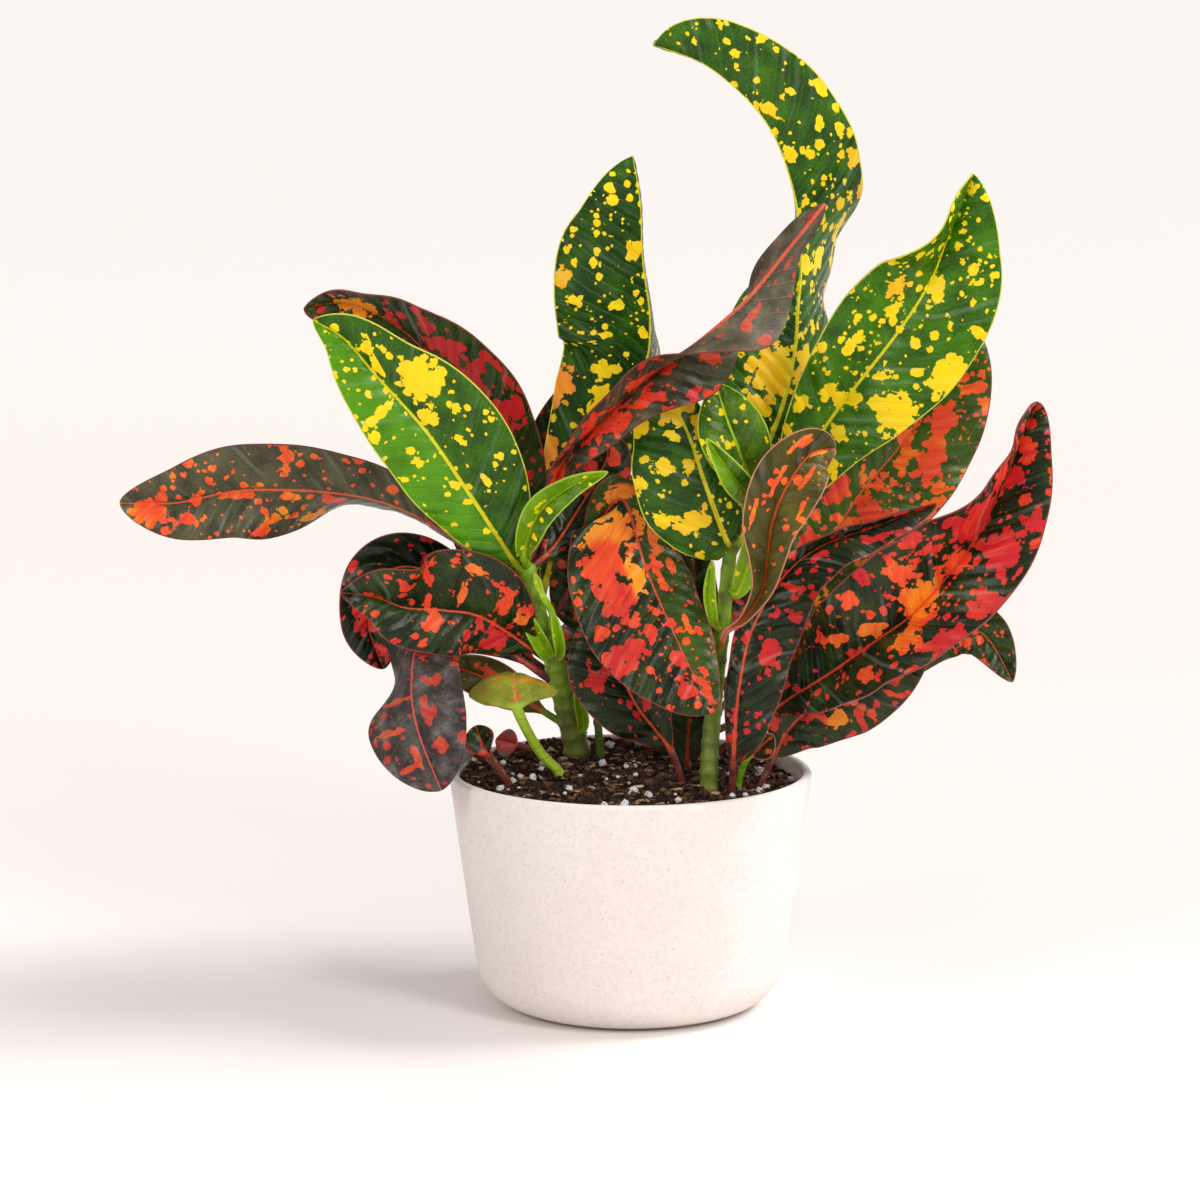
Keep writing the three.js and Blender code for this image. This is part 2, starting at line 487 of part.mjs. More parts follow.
// A leaf: two faces of the same triangles, a blade's thickness apart, closed along the margins
function leafSolid(leaf, grow = 0) {
  const rows = [...rootOf(leaf), ...leaf.rows];
  const length = routeLength(rows);
  const stalk = (leaf.stalk ?? STALK_LENGTH) + (leaf.from === 'soil' ? ROOT_DEPTH : 0);
  const stalkHalf = leaf.stalkHalf ?? STALK_HALF_WIDTH;
  const facing = leaf.facing ?? FRONT;
  const stations = THREE.MathUtils.clamp(Math.round(length / ROW_SPACING), FEWEST_ROWS, MOST_ROWS);
  const upper = [];
  const lower = [];
  let travelled = 0;
  let previous = place(rows[0]);
  for (let i = 0; i <= stations; i += 1) {
    const t = i / stations;
    const row = along(rows, t);
    const centre = place(row);
    travelled += centre.distanceTo(previous);
    previous = centre;
    const u = (travelled - stalk) / (length - stalk);
    const blade = u > 0 ? bladeWidth(leaf, u) : 0;
    const narrowest = THREE.MathUtils.lerp(stalkHalf, TIP_HALF_WIDTH, THREE.MathUtils.clamp(u * 2, 0, 1));
    const fade = THREE.MathUtils.clamp(u * STALK_FADE, 0, 1);
    const ribHalf = THREE.MathUtils.lerp(stalkHalf * STALK_FLATNESS, RIB_THICKNESS / 2, fade);
    const edgeHalf = stalkHalf * STALK_FLATNESS * STALK_EDGE;
    const marginHalf = THREE.MathUtils.lerp(edgeHalf, BLADE_THICKNESS / 2, fade);
    const tangent = tangentAt(rows, t);
    const forward = facing.clone().addScaledVector(tangent, -facing.dot(tangent)).normalize();
    const side = new THREE.Vector3().crossVectors(tangent, forward);
    const leftSide = side.clone().negate();
    ACROSS.forEach((v) => {
      const half = Math.max(blade * (v < 0 ? leaf.left : leaf.right), narrowest) + grow;
      const lean = v < 0 ? row[3] : row[4];
      const { offset, normal } = halfBlade(forward, v < 0 ? leftSide : side, lean, CURL, half, Math.abs(v));
      if (v === 0) normal.add(halfBlade(forward, leftSide, row[3], CURL, half, 0).normal).normalize();
      const thick = (v === 0 ? ribHalf : marginHalf) + grow;
      const point = centre.clone().add(offset);
      upper.push(point.clone().addScaledVector(normal, thick));
      lower.push(point.clone().addScaledVector(normal, -thick));
    });
  }
  return solidFrom([...upper, ...lower], bladeTriangles(stations, ACROSS.length));
}

// The triangles of a blade: both faces split alike, then the two margins and the two ends
function bladeTriangles(stations, wide) {
  const below = (stations + 1) * wide;
  const triangles = [];
  for (let i = 0; i < stations; i += 1) {
    for (let j = 0; j < wide - 1; j += 1) {
      const a = i * wide + j;
      const b = a + 1;
      const c = a + wide;
      const d = c + 1;
      triangles.push([a, b, d], [a, d, c]);
      triangles.push([below + a, below + d, below + b], [below + a, below + c, below + d]);
    }
    const left = i * wide;
    const right = left + wide - 1;
    triangles.push([left, left + wide, below + left + wide], [left, below + left + wide, below + left]);
    triangles.push([right, below + right + wide, right + wide], [right, below + right, below + right + wide]);
  }
  for (let j = 0; j < wide - 1; j += 1) {
    triangles.push([j, below + j, below + j + 1], [j, below + j + 1, j + 1]);
    const end = stations * wide + j;
    triangles.push([end, below + end + 1, below + end], [end, end + 1, below + end + 1]);
  }
  return triangles;
}

addPiece('pot', potSolid(), POT_FINISH);

// Stems and stalks stand in holes in the soil, and leaves stop just short of their stem
let soil = soilSolid();
const grown = {};
for (const [name, stem] of Object.entries(STEMS)) {
  grown[name] = stemSolid(stem, CLEARANCE);
  soil = soil.subtract(grown[name]);
  addPiece(name, stemSolid(stem, 0), STEM_FINISH);
}
for (const leaf of LEAVES) {
  let solid = leafSolid(leaf);
  if (leaf.from === 'soil') {
    soil = soil.subtract(leafSolid(leaf, CLEARANCE));
  } else {
    solid = solid.subtract(grown[leaf.from]);
  }
  addPiece(leaf.name, solid, leaf.finish);
}
addPiece('soil', soil, SOIL_FINISH);

export default part;
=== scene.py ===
# %% [markdown]
# # A potted croton
#
# A croton is a house plant with leathery leaves, spotted yellow on green or red on near black, that
# twist and fold as they grow. This one stands in a plain off-white pot. Its solids come from the
# packed model, and this script gives every piece its fine surface and its finish. The pot is drawn
# up ring by ring, stems and leaves are grids of points laid along their midribs, and every colour is
# worked out by nodes.
#
# First the packed model is loaded.

import math
import random

import bpy
import numpy as np
from mathutils import Matrix, Vector, noise


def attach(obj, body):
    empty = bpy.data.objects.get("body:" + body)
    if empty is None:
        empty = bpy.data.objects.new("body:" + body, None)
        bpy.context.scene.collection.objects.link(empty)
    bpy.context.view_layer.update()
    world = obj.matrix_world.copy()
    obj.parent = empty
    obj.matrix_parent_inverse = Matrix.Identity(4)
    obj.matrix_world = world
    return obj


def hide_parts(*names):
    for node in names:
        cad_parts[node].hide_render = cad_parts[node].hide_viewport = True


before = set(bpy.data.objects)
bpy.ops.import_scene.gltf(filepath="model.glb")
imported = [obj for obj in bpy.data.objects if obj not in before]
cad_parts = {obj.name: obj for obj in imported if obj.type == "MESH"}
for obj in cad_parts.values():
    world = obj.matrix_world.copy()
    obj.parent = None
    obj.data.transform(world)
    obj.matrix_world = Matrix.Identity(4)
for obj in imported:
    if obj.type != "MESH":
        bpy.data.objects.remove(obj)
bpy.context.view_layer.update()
MM = 0.001

# %% [markdown]
# The camera stands about a metre and a half away, a little above the plant, and looks slightly down.
# A long lens keeps the pot's sides nearly parallel. It comes first, since everything is judged
# through it.

# %% Camera
CAMERA_PLACE = (-0.0121, -1.568, 0.418)
CAMERA_TILT_DOWN = 9.23
LENS = 120

bpy.ops.object.camera_add(location=CAMERA_PLACE, rotation=(math.radians(90 - CAMERA_TILT_DOWN), 0, 0))
camera = bpy.context.object
camera.data.lens = LENS
bpy.context.scene.camera = camera
print("camera at", CAMERA_PLACE, "lens", LENS, "mm")

# %% [markdown]
# The plant stands on a pale floor that runs out of sight, in even white light. A broad sun from the
# right and a little behind gives the soft shadow on the left, and two soft panels in front give the
# waxy leaves something bright to mirror. The plain Standard view keeps whites white.

# %% Floor and light
FLOOR_SIZE = 240
# The near and front floor colours are darker than the far one: painted shade.
FLOOR_NEAR_PAINTED_SHADE = (0.87, 0.82, 0.79)
FLOOR_FAR = (0.95, 0.915, 0.89)
FLOOR_FRONT_PAINTED_SHADE = (0.8, 0.755, 0.73)
FRONT_DISTANCE = 0.9
SKY_COLOUR = (1.0, 0.965, 0.94)
SKY_STRENGTH = 0.56
SUN_STRENGTH = 2.1
SUN_SOFTNESS = 24
SUN_FROM = (0.75, 0.12, 0.8)
PANEL_SHAPE = 1.6


def aim(lamp, target=(0, 0, 0.2)):
    """Turns a lamp to look at a place."""
    toward = Vector(target) - lamp.location
    lamp.rotation_euler = toward.to_track_quat("-Z", "Y").to_euler()


def soft_panel(name, place, width, power):
    """A lamp as large and soft as a sheet of tracing paper, taller than wide."""
    bpy.ops.object.light_add(type="AREA", location=place)
    panel = bpy.context.object
    panel.name = name
    panel.data.shape = "RECTANGLE"
    panel.data.size = width
    panel.data.size_y = width * PANEL_SHAPE
    panel.data.energy = power
    aim(panel)
    return panel


bpy.ops.mesh.primitive_plane_add(size=FLOOR_SIZE)
floor = bpy.context.object
floor.name = "floor"

bpy.ops.object.light_add(type="SUN", location=SUN_FROM)
sun = bpy.context.object
sun.data.energy = SUN_STRENGTH
sun.data.angle = math.radians(SUN_SOFTNESS)
aim(sun, (0, 0, 0))
soft_panel("panel_right", (0.8, -1.05, 0.95), 0.36, 9)
soft_panel("panel_left", (-1.0, -0.9, 0.85), 0.3, 4.5)

world = bpy.data.worlds.new("studio")
bpy.context.scene.world = world
world.use_nodes = True
sky = world.node_tree.nodes["Background"].inputs
sky["Color"].default_value = (*SKY_COLOUR, 1)
sky["Strength"].default_value = SKY_STRENGTH
bpy.context.scene.view_settings.view_transform = "Standard"

# %% [markdown]
# Materials are node trees, and a tree is easier to read as sums than as wires. `Value` wraps one
# socket of a node, so that `1 - spots * 0.5` adds the Math nodes that work it out. Colours and
# vectors go through Mix and Vector Math nodes, because a Math node would turn a colour grey.

# %% A socket that can be reckoned with


class Value:
    """One output of a node, with the sums that the materials below need."""

    def __init__(self, finish, socket):
        self.finish = finish
        self.socket = socket

    def sum(self, operation, *others):
        wired = {i: other for i, other in enumerate((self, *others))}
        return self.finish.node("Math", {"operation": operation}, wired)

    def __add__(self, other):
        return self.sum("ADD", other)

    def __sub__(self, other):
        return self.sum("SUBTRACT", other)

    def __mul__(self, other):
        return self.sum("MULTIPLY", other)

    def __truediv__(self, other):
        return self.sum("DIVIDE", other)

    def __rsub__(self, other):
        return self.finish.node("Math", {"operation": "SUBTRACT"}, {0: other, 1: self})

    def __pow__(self, other):
        return self.sum("POWER", other)

    __radd__ = __add__

    def above(self, other):
        """The larger of two values."""
        return self.sum("MAXIMUM", other)

    def size(self):
        return self.sum("ABSOLUTE")

    def wave(self):
        return self.sum("SINE")

    def rise(self, start, end):
        """0 at start and 1 at end, with a soft turn at both. It falls where start is the larger."""
        settings = {"interpolation_type": "SMOOTHSTEP"}
        return self.finish.node("MapRange", settings, {"Value": self, "From Min": start, "From Max": end})


print("sums for sockets:", [name for name in vars(Value) if not name.startswith("_")])

# %% [markdown]
# `Finish` is one material. Its `node` method adds any node: settings first, then values or wires for
# the sockets. The short methods after it name what the leaves, pot and soil use again and again. Most
# looks are a ground colour with coats over it, so `coated` lays them one after the other, as paint.

# %% A material under construction


class Finish:
    """One material under construction."""

    def __init__(self, name):
        self.material = bpy.data.materials.new(name)
        self.material.use_nodes = True
        self.tree = self.material.node_tree
        self.shader = self.tree.nodes["Principled BSDF"]

    def wire(self, node, sockets):
        for key, value in sockets.items():
            if isinstance(value, Value):
                self.tree.links.new(value.socket, node.inputs[key])
            else:
                node.inputs[key].default_value = value

    def node(self, kind, settings=None, sockets=None, output=0):
        made = self.tree.nodes.new("ShaderNode" + kind)
        for key, value in (settings or {}).items():
            setattr(made, key, value)
        self.wire(made, sockets or {})
        return Value(self, made.outputs[output])

    def again(self, value, output):
        """Another output of the node that a value came from."""
        return Value(self, value.socket.node.outputs[output])

    def object_place(self):
        """Where a point lies, in metres. The pieces aren't turned, so it is the place in the scene."""
        return self.node("TexCoord", output="Object")

    def attribute(self, name, output="Vector"):
        return self.node("Attribute", {"attribute_name": name}, output=output)

    def parts(self, vector):
        """The three numbers of a vector."""
        first = self.node("SeparateXYZ", {}, {"Vector": vector})
        return first, self.again(first, 1), self.again(first, 2)

    def vector(self, x, y, z=0.0):
        return self.node("CombineXYZ", {}, {"X": x, "Y": y, "Z": z})

    def scaled(self, vector, factors):
        return self.node("VectorMath", {"operation": "MULTIPLY"}, {0: vector, 1: factors})

    def moved(self, vector, by):
        return self.node("VectorMath", {"operation": "ADD"}, {0: vector, 1: by})

    def length(self, vector):
        return self.node("VectorMath", {"operation": "LENGTH"}, {0: vector}, "Value")

    def noise(self, vector, scale, detail=2.0, output="Fac"):
        sockets = {"Vector": vector, "Scale": scale, "Detail": detail}
        return self.node("TexNoise", {}, sockets, output)

    def mix(self, share, one, other):
        """One colour where share is 0 and the other where it is 1."""
        settings = {"data_type": "RGBA"}
        return self.node("Mix", settings, {"Factor": share, "A": one, "B": other}, "Result")

    def coated(self, ground, *coats):
        """A ground colour with coats over it. A coat is how much of it there is, and its colour."""
        for share, coat in coats:
            ground = self.mix(share, ground, coat)
        return ground

    def bump(self, height, distance, strength=1.0):
        sockets = {"Height": height, "Distance": distance, "Strength": strength}
        return self.node("Bump", {}, sockets, "Normal")

    def done(self, **sockets):
        """Wires the shader, whose sockets are given in plain words, and returns the material."""
        names = {key: key.replace("_", " ").title().replace("Ior", "IOR") for key in sockets}
        self.wire(self.shader, {names[key]: value for key, value in sockets.items()})
        print("finish:", self.material.name, "with", len(self.tree.nodes), "nodes")
        return self.material


def colour(red, green, blue):
    """A colour as seen on a screen, 0 to 255, turned into the light values that nodes work in."""
    shares = [channel / 255 for channel in (red, green, blue)]
    return (*[s / 12.92 if s <= 0.04045 else ((s + 0.055) / 1.055) ** 2.4 for s in shares], 1.0)


floor_finish = Finish("floor_paper")
place = floor_finish.object_place()
from_pot = floor_finish.length(place)
from_front = floor_finish.length(floor_finish.moved(place, (0, FRONT_DISTANCE, 0)))
# Painted shade: the floor is darker near the pot and toward the front, to hold back the lamps' extra light
# there.
paper = floor_finish.coated(
    (*FLOOR_NEAR_PAINTED_SHADE, 1),
    (from_pot.rise(0.2, 3.0), (*FLOOR_FAR, 1)),
    (from_front.rise(1.0, 0.3), (*FLOOR_FRONT_PAINTED_SHADE, 1)))
floor.data.materials.append(floor_finish.done(base_color=paper, roughness=0.9))

# %% [markdown]
# Every new piece starts from an empty selection, because the edit operators act on all that is
# selected. Every finished piece is named, and the part of the packed model that it replaces is
# hidden. It rides on the one body that the plant has.

# %% Starting and finishing a piece


def nothing_selected():
    if bpy.context.object and bpy.context.object.mode != "OBJECT":
        bpy.ops.object.mode_set(mode="OBJECT")
    bpy.ops.object.select_all(action="DESELECT")


def edit_all():
    """Opens the active piece in edit mode, with all of it selected."""
    bpy.ops.object.mode_set(mode="EDIT")
    bpy.ops.mesh.select_all(action="SELECT")


def shade_smooth(crease):
    """Smooth shading. An edge stays sharp where its faces turn by more than so many degrees."""
    bpy.ops.object.shade_smooth_by_angle(angle=math.radians(crease))


def apply_modifiers(piece):
    nothing_selected()
    piece.select_set(True)
    bpy.context.view_layer.objects.active = piece
    for modifier in list(piece.modifiers):
        bpy.ops.object.modifier_apply(modifier=modifier.name)


def stands_for(piece, name, node=None):
    """Names a finished piece, hides the packed node that it replaces, and sets it on the plant's body."""
    piece.name = name
    piece.data.name = name
    if node:
        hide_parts(node)
    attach(piece, "root")
    return piece


def write_points(piece, points):
    """Moves every point of a piece to a place of its own."""
    piece.data.vertices.foreach_set("co", np.asarray(points, np.float32).ravel())
    piece.data.update()


nothing_selected()
print("things left selected:", len(bpy.context.selected_objects))

# %% [markdown]
# The pot is a thrown cup: a flat foot, a large quarter round, straight sides that open a little, and
# a thin rounded lip. It could be a profile spun round the axis, but drawing it up from a disc keeps
# the ring of points in view at every step, as a potter would raise it. The disc is extruded and
# widened again and again, up the outside, over the lip and down the inside.

# %% The pot's outline
RIM_RADIUS = 72.5 * MM
POT_HEIGHT = 95 * MM
FOOT_RADIUS = 43 * MM
CORNER_RADIUS = 19 * MM
WALL = 3.6 * MM
INNER_FLOOR = 5 * MM
INNER_FOOT_RADIUS = FOOT_RADIUS - 2 * MM
CORNER_STEPS = 14
LIP_STEPS = 14
TURN_SIDES = 144


def arc(centre, radius, start, end, steps):
    """Places along a part of a circle, each a distance from the axis and a height."""
    angles = [start + (end - start) * i / steps for i in range(steps + 1)]
    return [(centre[0] + radius * math.cos(a), centre[1] + radius * math.sin(a)) for a in angles]


def wall_outline(inset):
    """Radius and height up the wall, from the foot to where the quarter round meets the side."""
    rise = POT_HEIGHT - CORNER_RADIUS
    run = RIM_RADIUS - inset - FOOT_RADIUS
    radius = CORNER_RADIUS - inset
    last_angle = math.atan2(rise, run) - math.acos(radius / math.hypot(rise, run))
    return arc((FOOT_RADIUS, CORNER_RADIUS), radius, -math.pi / 2, last_angle, CORNER_STEPS)


def lip_outline():
    radius = WALL / 2
    return arc((RIM_RADIUS - radius, POT_HEIGHT - radius), radius, 0, math.pi, LIP_STEPS)


inner_wall = [(r, h) for r, h in reversed(wall_outline(WALL)) if h > INNER_FLOOR]
pot_outline = wall_outline(0) + lip_outline() + inner_wall + [(INNER_FOOT_RADIUS, INNER_FLOOR)]
print("pot outline:", len(pot_outline), "rings")

# %% [markdown]
# `raised` is that potter's hand. It is used twice, for the pot and for the soil inside it.

# %% Raise a round body from a disc


def raised(outline, sides):
    """A closed body turned round the z axis, from a list of radius and height."""
    nothing_selected()
    radius, height = outline[0]
    bpy.ops.mesh.primitive_circle_add(vertices=sides, radius=radius, fill_type="NGON")
    body = bpy.context.object
    edit_all()
    bpy.ops.transform.translate(value=(0, 0, height))
    for next_radius, next_height in outline[1:]:
        bpy.ops.mesh.extrude_region_move(TRANSFORM_OT_translate={"value": (0, 0, next_height - height)})
        growth = next_radius / radius
        bpy.ops.transform.resize(value=(growth, growth, 1), center_override=(0, 0, next_height))
        radius, height = next_radius, next_height
    bpy.ops.mesh.select_all(action="SELECT")
    bpy.ops.mesh.normals_make_consistent(inside=False)
    bpy.ops.object.mode_set(mode="OBJECT")
    return body


pot = raised(pot_outline, TURN_SIDES)
shade_smooth(crease=35)
stands_for(pot, "pot_cup", "pot")
print("pot:", len(pot.data.polygons), "faces, rim", round(pot.dimensions.x / MM, 1), "mm")

# %% [markdown]
# The glaze is matte and sandy: an off-white ground, slightly uneven, with sand-brown specks as fine
# as grains. Two sizes of Voronoi cells give the specks. Each cell has a random number of its own, and
# only the few cells with a high one show their dot.

# %% Speckled glaze


def specks(finish, place, size, share):
    """Round dots in a share of the cells, about as wide as a third of a cell."""
    sockets = {"Vector": place, "Scale": 1 / size, "Randomness": 1.0}
    distance = finish.node("TexVoronoi", {}, sockets, "Distance")
    lot = finish.parts(finish.again(distance, "Color"))[0]
    return distance.rise(0.42, 0.2) * lot.rise(1 - share, 1 - share * 0.8)


OFF_WHITE = colour(238, 230, 226)
WARM_WHITE = colour(225, 215, 209)
SAND_BROWN = colour(186, 164, 150)
DARK_SAND = colour(160, 138, 120)

glaze = Finish("speckled_glaze")
place = glaze.object_place()
mottle = glaze.noise(place, 70, 3)
sand = glaze.noise(place, 520, 3).rise(0.35, 0.7)
dotted = glaze.coated(
    OFF_WHITE,
    (mottle * 0.6 + sand * 0.4, WARM_WHITE),
    (specks(glaze, place, 0.9 * MM, 0.22) * 0.28, SAND_BROWN),
    (specks(glaze, place, 1.6 * MM, 0.06) * 0.26, DARK_SAND))
grain = glaze.noise(place, 900, 4) + mottle * 0.6 + sand * 0.4
pot.data.materials.append(glaze.done(
    base_color=dotted, roughness=mottle * 0.12 + 0.66, normal=glaze.bump(grain, 0.3 * MM, 0.6)))

# %% [markdown]
# The potting mix fills the pot to just under the lip and is mounded round the stems. Its body is
# raised like the pot, from the pot's inner floor up and then inward in many rings, so that its top
# is a fine net of points. Each point of the top is then lifted to the same height formula as the
# solid, with smaller lumps of noise on it.

# %% Soil body
SOIL_LEVEL = 88 * MM
SOIL_MOUND = 8 * MM
MOUND_CENTRE = (-16 * MM, 8 * MM)
MOUND_SPREAD = 34 * MM
SOIL_TILT = 0.02
BACK_SLOPE = 0.06
LUMP_HEIGHT = 0.9 * MM
LUMP_WAVE = 0.29 / MM
GRAIN_WAVE = 0.57 / MM
GRAIN_SHARE = 0.6
CLEARANCE = 0.3 * MM
SHOULDER_DROP = 2 * MM
SOIL_RINGS = 64
SOIL_SIDES = 240
CRUMB_HEIGHT = 1.5 * MM
CRUMB_SIZE = 5 * MM


def soil_height(x, y):
    """The height of the soil at a place: a mound with lumps on it, a little higher at the back."""
    spread = math.hypot(x - MOUND_CENTRE[0], y - MOUND_CENTRE[1]) / MOUND_SPREAD
    lumps = math.sin(LUMP_WAVE * x + 1) * math.cos(LUMP_WAVE * y)
    lumps += GRAIN_SHARE * math.sin(GRAIN_WAVE * (x - y))
    slope = BACK_SLOPE * max(y, 0) - SOIL_TILT * x
    return SOIL_LEVEL + SOIL_MOUND * math.exp(-(spread**2) / 2) + LUMP_HEIGHT * lumps + slope


inset = WALL + CLEARANCE
soil_side = [(r, h) for r, h in wall_outline(inset) if h > INNER_FLOOR + CLEARANCE]
edge_radius, edge_height = soil_side[-1]
shoulder_share = (SOIL_LEVEL - SHOULDER_DROP - edge_height) / (POT_HEIGHT - edge_height)
shoulder = edge_radius + (RIM_RADIUS - inset - edge_radius) * shoulder_share
soil_top = [(shoulder * (1 - k / (SOIL_RINGS + 1)), SOIL_LEVEL) for k in range(SOIL_RINGS + 1)]
soil_foot = (INNER_FOOT_RADIUS - CLEARANCE, INNER_FLOOR + CLEARANCE)
soil = raised([soil_foot, *soil_side, *soil_top], SOIL_SIDES)
for vertex in soil.data.vertices:
    x, y, z = vertex.co
    if z > SOIL_LEVEL - CLEARANCE:
        lump = noise.fractal(Vector((x, y, 0)) / CRUMB_SIZE, 1.0, 2.0, 3)
        calm = min(1, (shoulder - math.hypot(x, y)) / CRUMB_SIZE)
        vertex.co.z = soil_height(x, y) + CRUMB_HEIGHT * lump * calm
shade_smooth(crease=60)
stands_for(soil, "soil_body", "soil")
print("soil:", len(soil.data.polygons), "faces")

# %% [markdown]
# Peat is dark brown and crumbly, with fibres in it, and it swallows light. The colour wanders
# between near black and a warm brown, at the size of the crumbs.

# %% Peat finish


def earthy(name, dark, light, size, roughness):
    """A dull, crumbly finish that wanders between two colours."""
    finish = Finish(name)
    place = finish.object_place()
    broad = finish.noise(place, 1 / size, 4)
    fine = finish.noise(place, 9 / size, 5)
    tint = finish.mix((broad * 0.6 + fine * 0.5).rise(0.46, 0.7), dark, light)
    return finish.done(base_color=tint, roughness=roughness, specular_ior_level=0.2,
                       normal=finish.bump(fine + broad, 1.2 * MM, 0.8))


peat = earthy("peat", colour(14, 10, 8), colour(92, 66, 48), 2.5 * MM, 0.95)
soil.data.materials.append(peat)

# %% [markdown]
# Three stems stand in the soil: a thick one on the left, a thinner one to the right, and a thin shoot
# behind the left one. Each is given its half thickness at the foot and at the top, how many pairs of
# leaf joints it has, the room that loose bits leave around its foot, and the places that it passes.
# These places, and those of the leaves, are given in millimetres.

# %% Where the stems stand
STEMS = {
    "left_stem": dict(thick=5.6, thin=3.1, joint_pairs=9, room=7, route=[
        (-19, 14, 72), (-21, 13, 97), (-26, 12, 119), (-31, 9, 139), (-38, 5, 160), (-41, 2, 178)]),
    "right_stem": dict(thick=3.9, thin=2.4, joint_pairs=10, room=6, route=[
        (31, -14, 68), (31, -14, 92), (32, -12, 112), (34, -9, 133), (37, -6, 160), (40, -4, 190),
        (42, -4, 206)]),
    "side_shoot": dict(thick=1.9, thin=1.2, joint_pairs=4, room=3, route=[
        (-11, 12, 72), (-12, 11, 98), (-13, 9, 112), (-15, 9, 130), (-13, 10, 146)]),
}


def by_a_stem(x, y, clear):
    """Whether a place in metres is too near the foot of a stem for a loose bit."""
    for plan in STEMS.values():
        foot_x, foot_y, _ = plan["route"][0]
        if math.hypot(x / MM - foot_x, y / MM - foot_y) < plan["room"] + clear:
            return True
    return False


print("stems:", {name: len(plan["route"]) for name, plan in STEMS.items()}, "places each")

# %% [markdown]
# On top lie loose bits: dark crumbs of peat, pale slivers of bark, and white grains of perlite. One
# bit of each kind is modelled, from a ball whose points are pushed about at random. It is then copied
# with its own mesh, turned, sized and dropped on the soil. The draws are seeded, so that the same bits
# lie in the same places each time. Each kind is joined into one piece.

# %% Loose bits on the soil
SCATTER_REACH = 0.985
BIT_TILT = 0.35
SHAKE_SEED = 7


def rough_ball(shape, roughness, fineness):
    """A small lump: a ball whose points are pushed in or out at random, squeezed to a shape."""
    nothing_selected()
    bpy.ops.mesh.primitive_ico_sphere_add(subdivisions=fineness, radius=0.5)
    edit_all()
    bpy.ops.transform.vertex_random(offset=roughness, seed=SHAKE_SEED)
    bpy.ops.transform.resize(value=shape, center_override=(0, 0, 0))
    bpy.ops.object.mode_set(mode="OBJECT")
    return bpy.context.object


def scatter(name, finish, master, count, sizes, seed, sink, clear=0.0):
    """Copies of one bit, dropped on the soil at seeded places and joined into one piece."""
    draw = random.Random(seed)
    copies = []
    while len(copies) < count:
        reach = shoulder * SCATTER_REACH * math.sqrt(draw.random())
        angle = draw.uniform(0, 2 * math.pi)
        x, y = reach * math.cos(angle), reach * math.sin(angle)
        if by_a_stem(x, y, clear):
            continue
        bit = master.copy()
        bit.data = master.data.copy()
        bpy.context.collection.objects.link(bit)
        size = draw.uniform(*sizes) * MM
        turn = Matrix.Rotation(draw.uniform(0, 2 * math.pi), 4, "Z")
        tilt = Matrix.Rotation(draw.gauss(0, BIT_TILT), 4, "X")
        stand = Matrix.Translation((x, y, soil_height(x, y) + size * sink))
        bit.data.transform(stand @ turn @ tilt @ Matrix.Scale(size, 4))
        copies.append(bit)
    nothing_selected()
    for bit in copies:
        bit.select_set(True)
    bpy.context.view_layer.objects.active = copies[0]
    bpy.ops.object.join()
    bpy.data.objects.remove(master)
    piece = bpy.context.object
    shade_smooth(crease=25)
    piece.data.materials.append(finish)
    stands_for(piece, name)
    print(name, count, "bits,", len(piece.data.polygons), "faces")


crumbly = earthy("crumbly_peat", colour(18, 12, 9), colour(128, 94, 68), 6 * MM, 0.95)
bark = earthy("bark", colour(104, 68, 46), colour(222, 184, 144), 7 * MM, 0.85)
perlite = earthy("perlite", colour(254, 252, 248), colour(255, 255, 254), 2 * MM, 0.8)
crumb_ball = rough_ball((1, 0.8, 0.7), 0.16, 1)
scatter("peat_crumbs", crumbly, crumb_ball, count=1300, sizes=(1.0, 3.6), seed=3, sink=0.2)
sliver_ball = rough_ball((1.6, 0.5, 0.3), 0.12, 1)
scatter("bark_slivers", bark, sliver_ball, count=320, sizes=(1.0, 4.2), seed=11, sink=0.3)
grain_ball = rough_ball((1, 0.9, 0.75), 0.22, 2)
scatter("perlite_grains", perlite, grain_ball, count=80, sizes=(1.3, 3.9), seed=5, sink=0.4, clear=2)

# %% [markdown]
# Stems and leaves follow the same rows of places as the solids, in millimetres. `along` draws one
# smooth curve through such rows: a Catmull-Rom spline passes through every row and needs no handles.
# It carries any other number of a row along with the place, such as how far a leaf leans.

# %% A smooth curve through rows


def along(rows, shares):
    """The rows' numbers at shares of the way along, from 0 to 1."""
    rows = np.asarray(rows, float)
    last = len(rows) - 1
    steps = np.clip(shares, 0, 1) * last
    i = np.minimum(steps.astype(int), last - 1)
    f = (steps - i)[:, None]
    before, here = rows[np.maximum(i - 1, 0)], rows[i]
    there, after = rows[i + 1], rows[np.minimum(i + 2, last)]
    bend = 2 * before - 5 * here + 4 * there - after + f * (3 * here - before - 3 * there + after)
    return here + 0.5 * f * (there - before + f * bend)


def unit(vectors):
    """The same directions, each one long."""
    return vectors / np.linalg.norm(vectors, axis=-1, keepdims=True)


def tangents(rows, shares):
    """Which way the curve runs at shares of the way along."""
    step = 0.004
    return unit(along(rows, shares + step)[:, :3] - along(rows, shares - step)[:, :3])


def travelled(places):
    """The distance walked up to each place."""
    steps = np.linalg.norm(np.diff(places, axis=0), axis=1)
    return np.concatenate([[0], np.cumsum(steps)])


def grid(columns, rows):
    """A flat net of points. The points of its first row come first, from its left to its right."""
    nothing_selected()
    bpy.ops.mesh.primitive_grid_add(x_subdivisions=columns - 1, y_subdivisions=rows - 1, size=1)
    return bpy.context.object


def attribute(piece, name, values):
    """A number or a vector at every point, which the finishes read."""
    values = np.asarray(values, np.float32)
    kind, key = ("FLOAT_VECTOR", "vector") if values.ndim > 1 else ("FLOAT", "value")
    made = piece.data.attributes.new(name, kind, "POINT")
    made.data.foreach_set(key, values.ravel())


print("a row halfway between two:", along([(0, 0, 0), (10, 0, 5)], np.array([0.5]))[0])

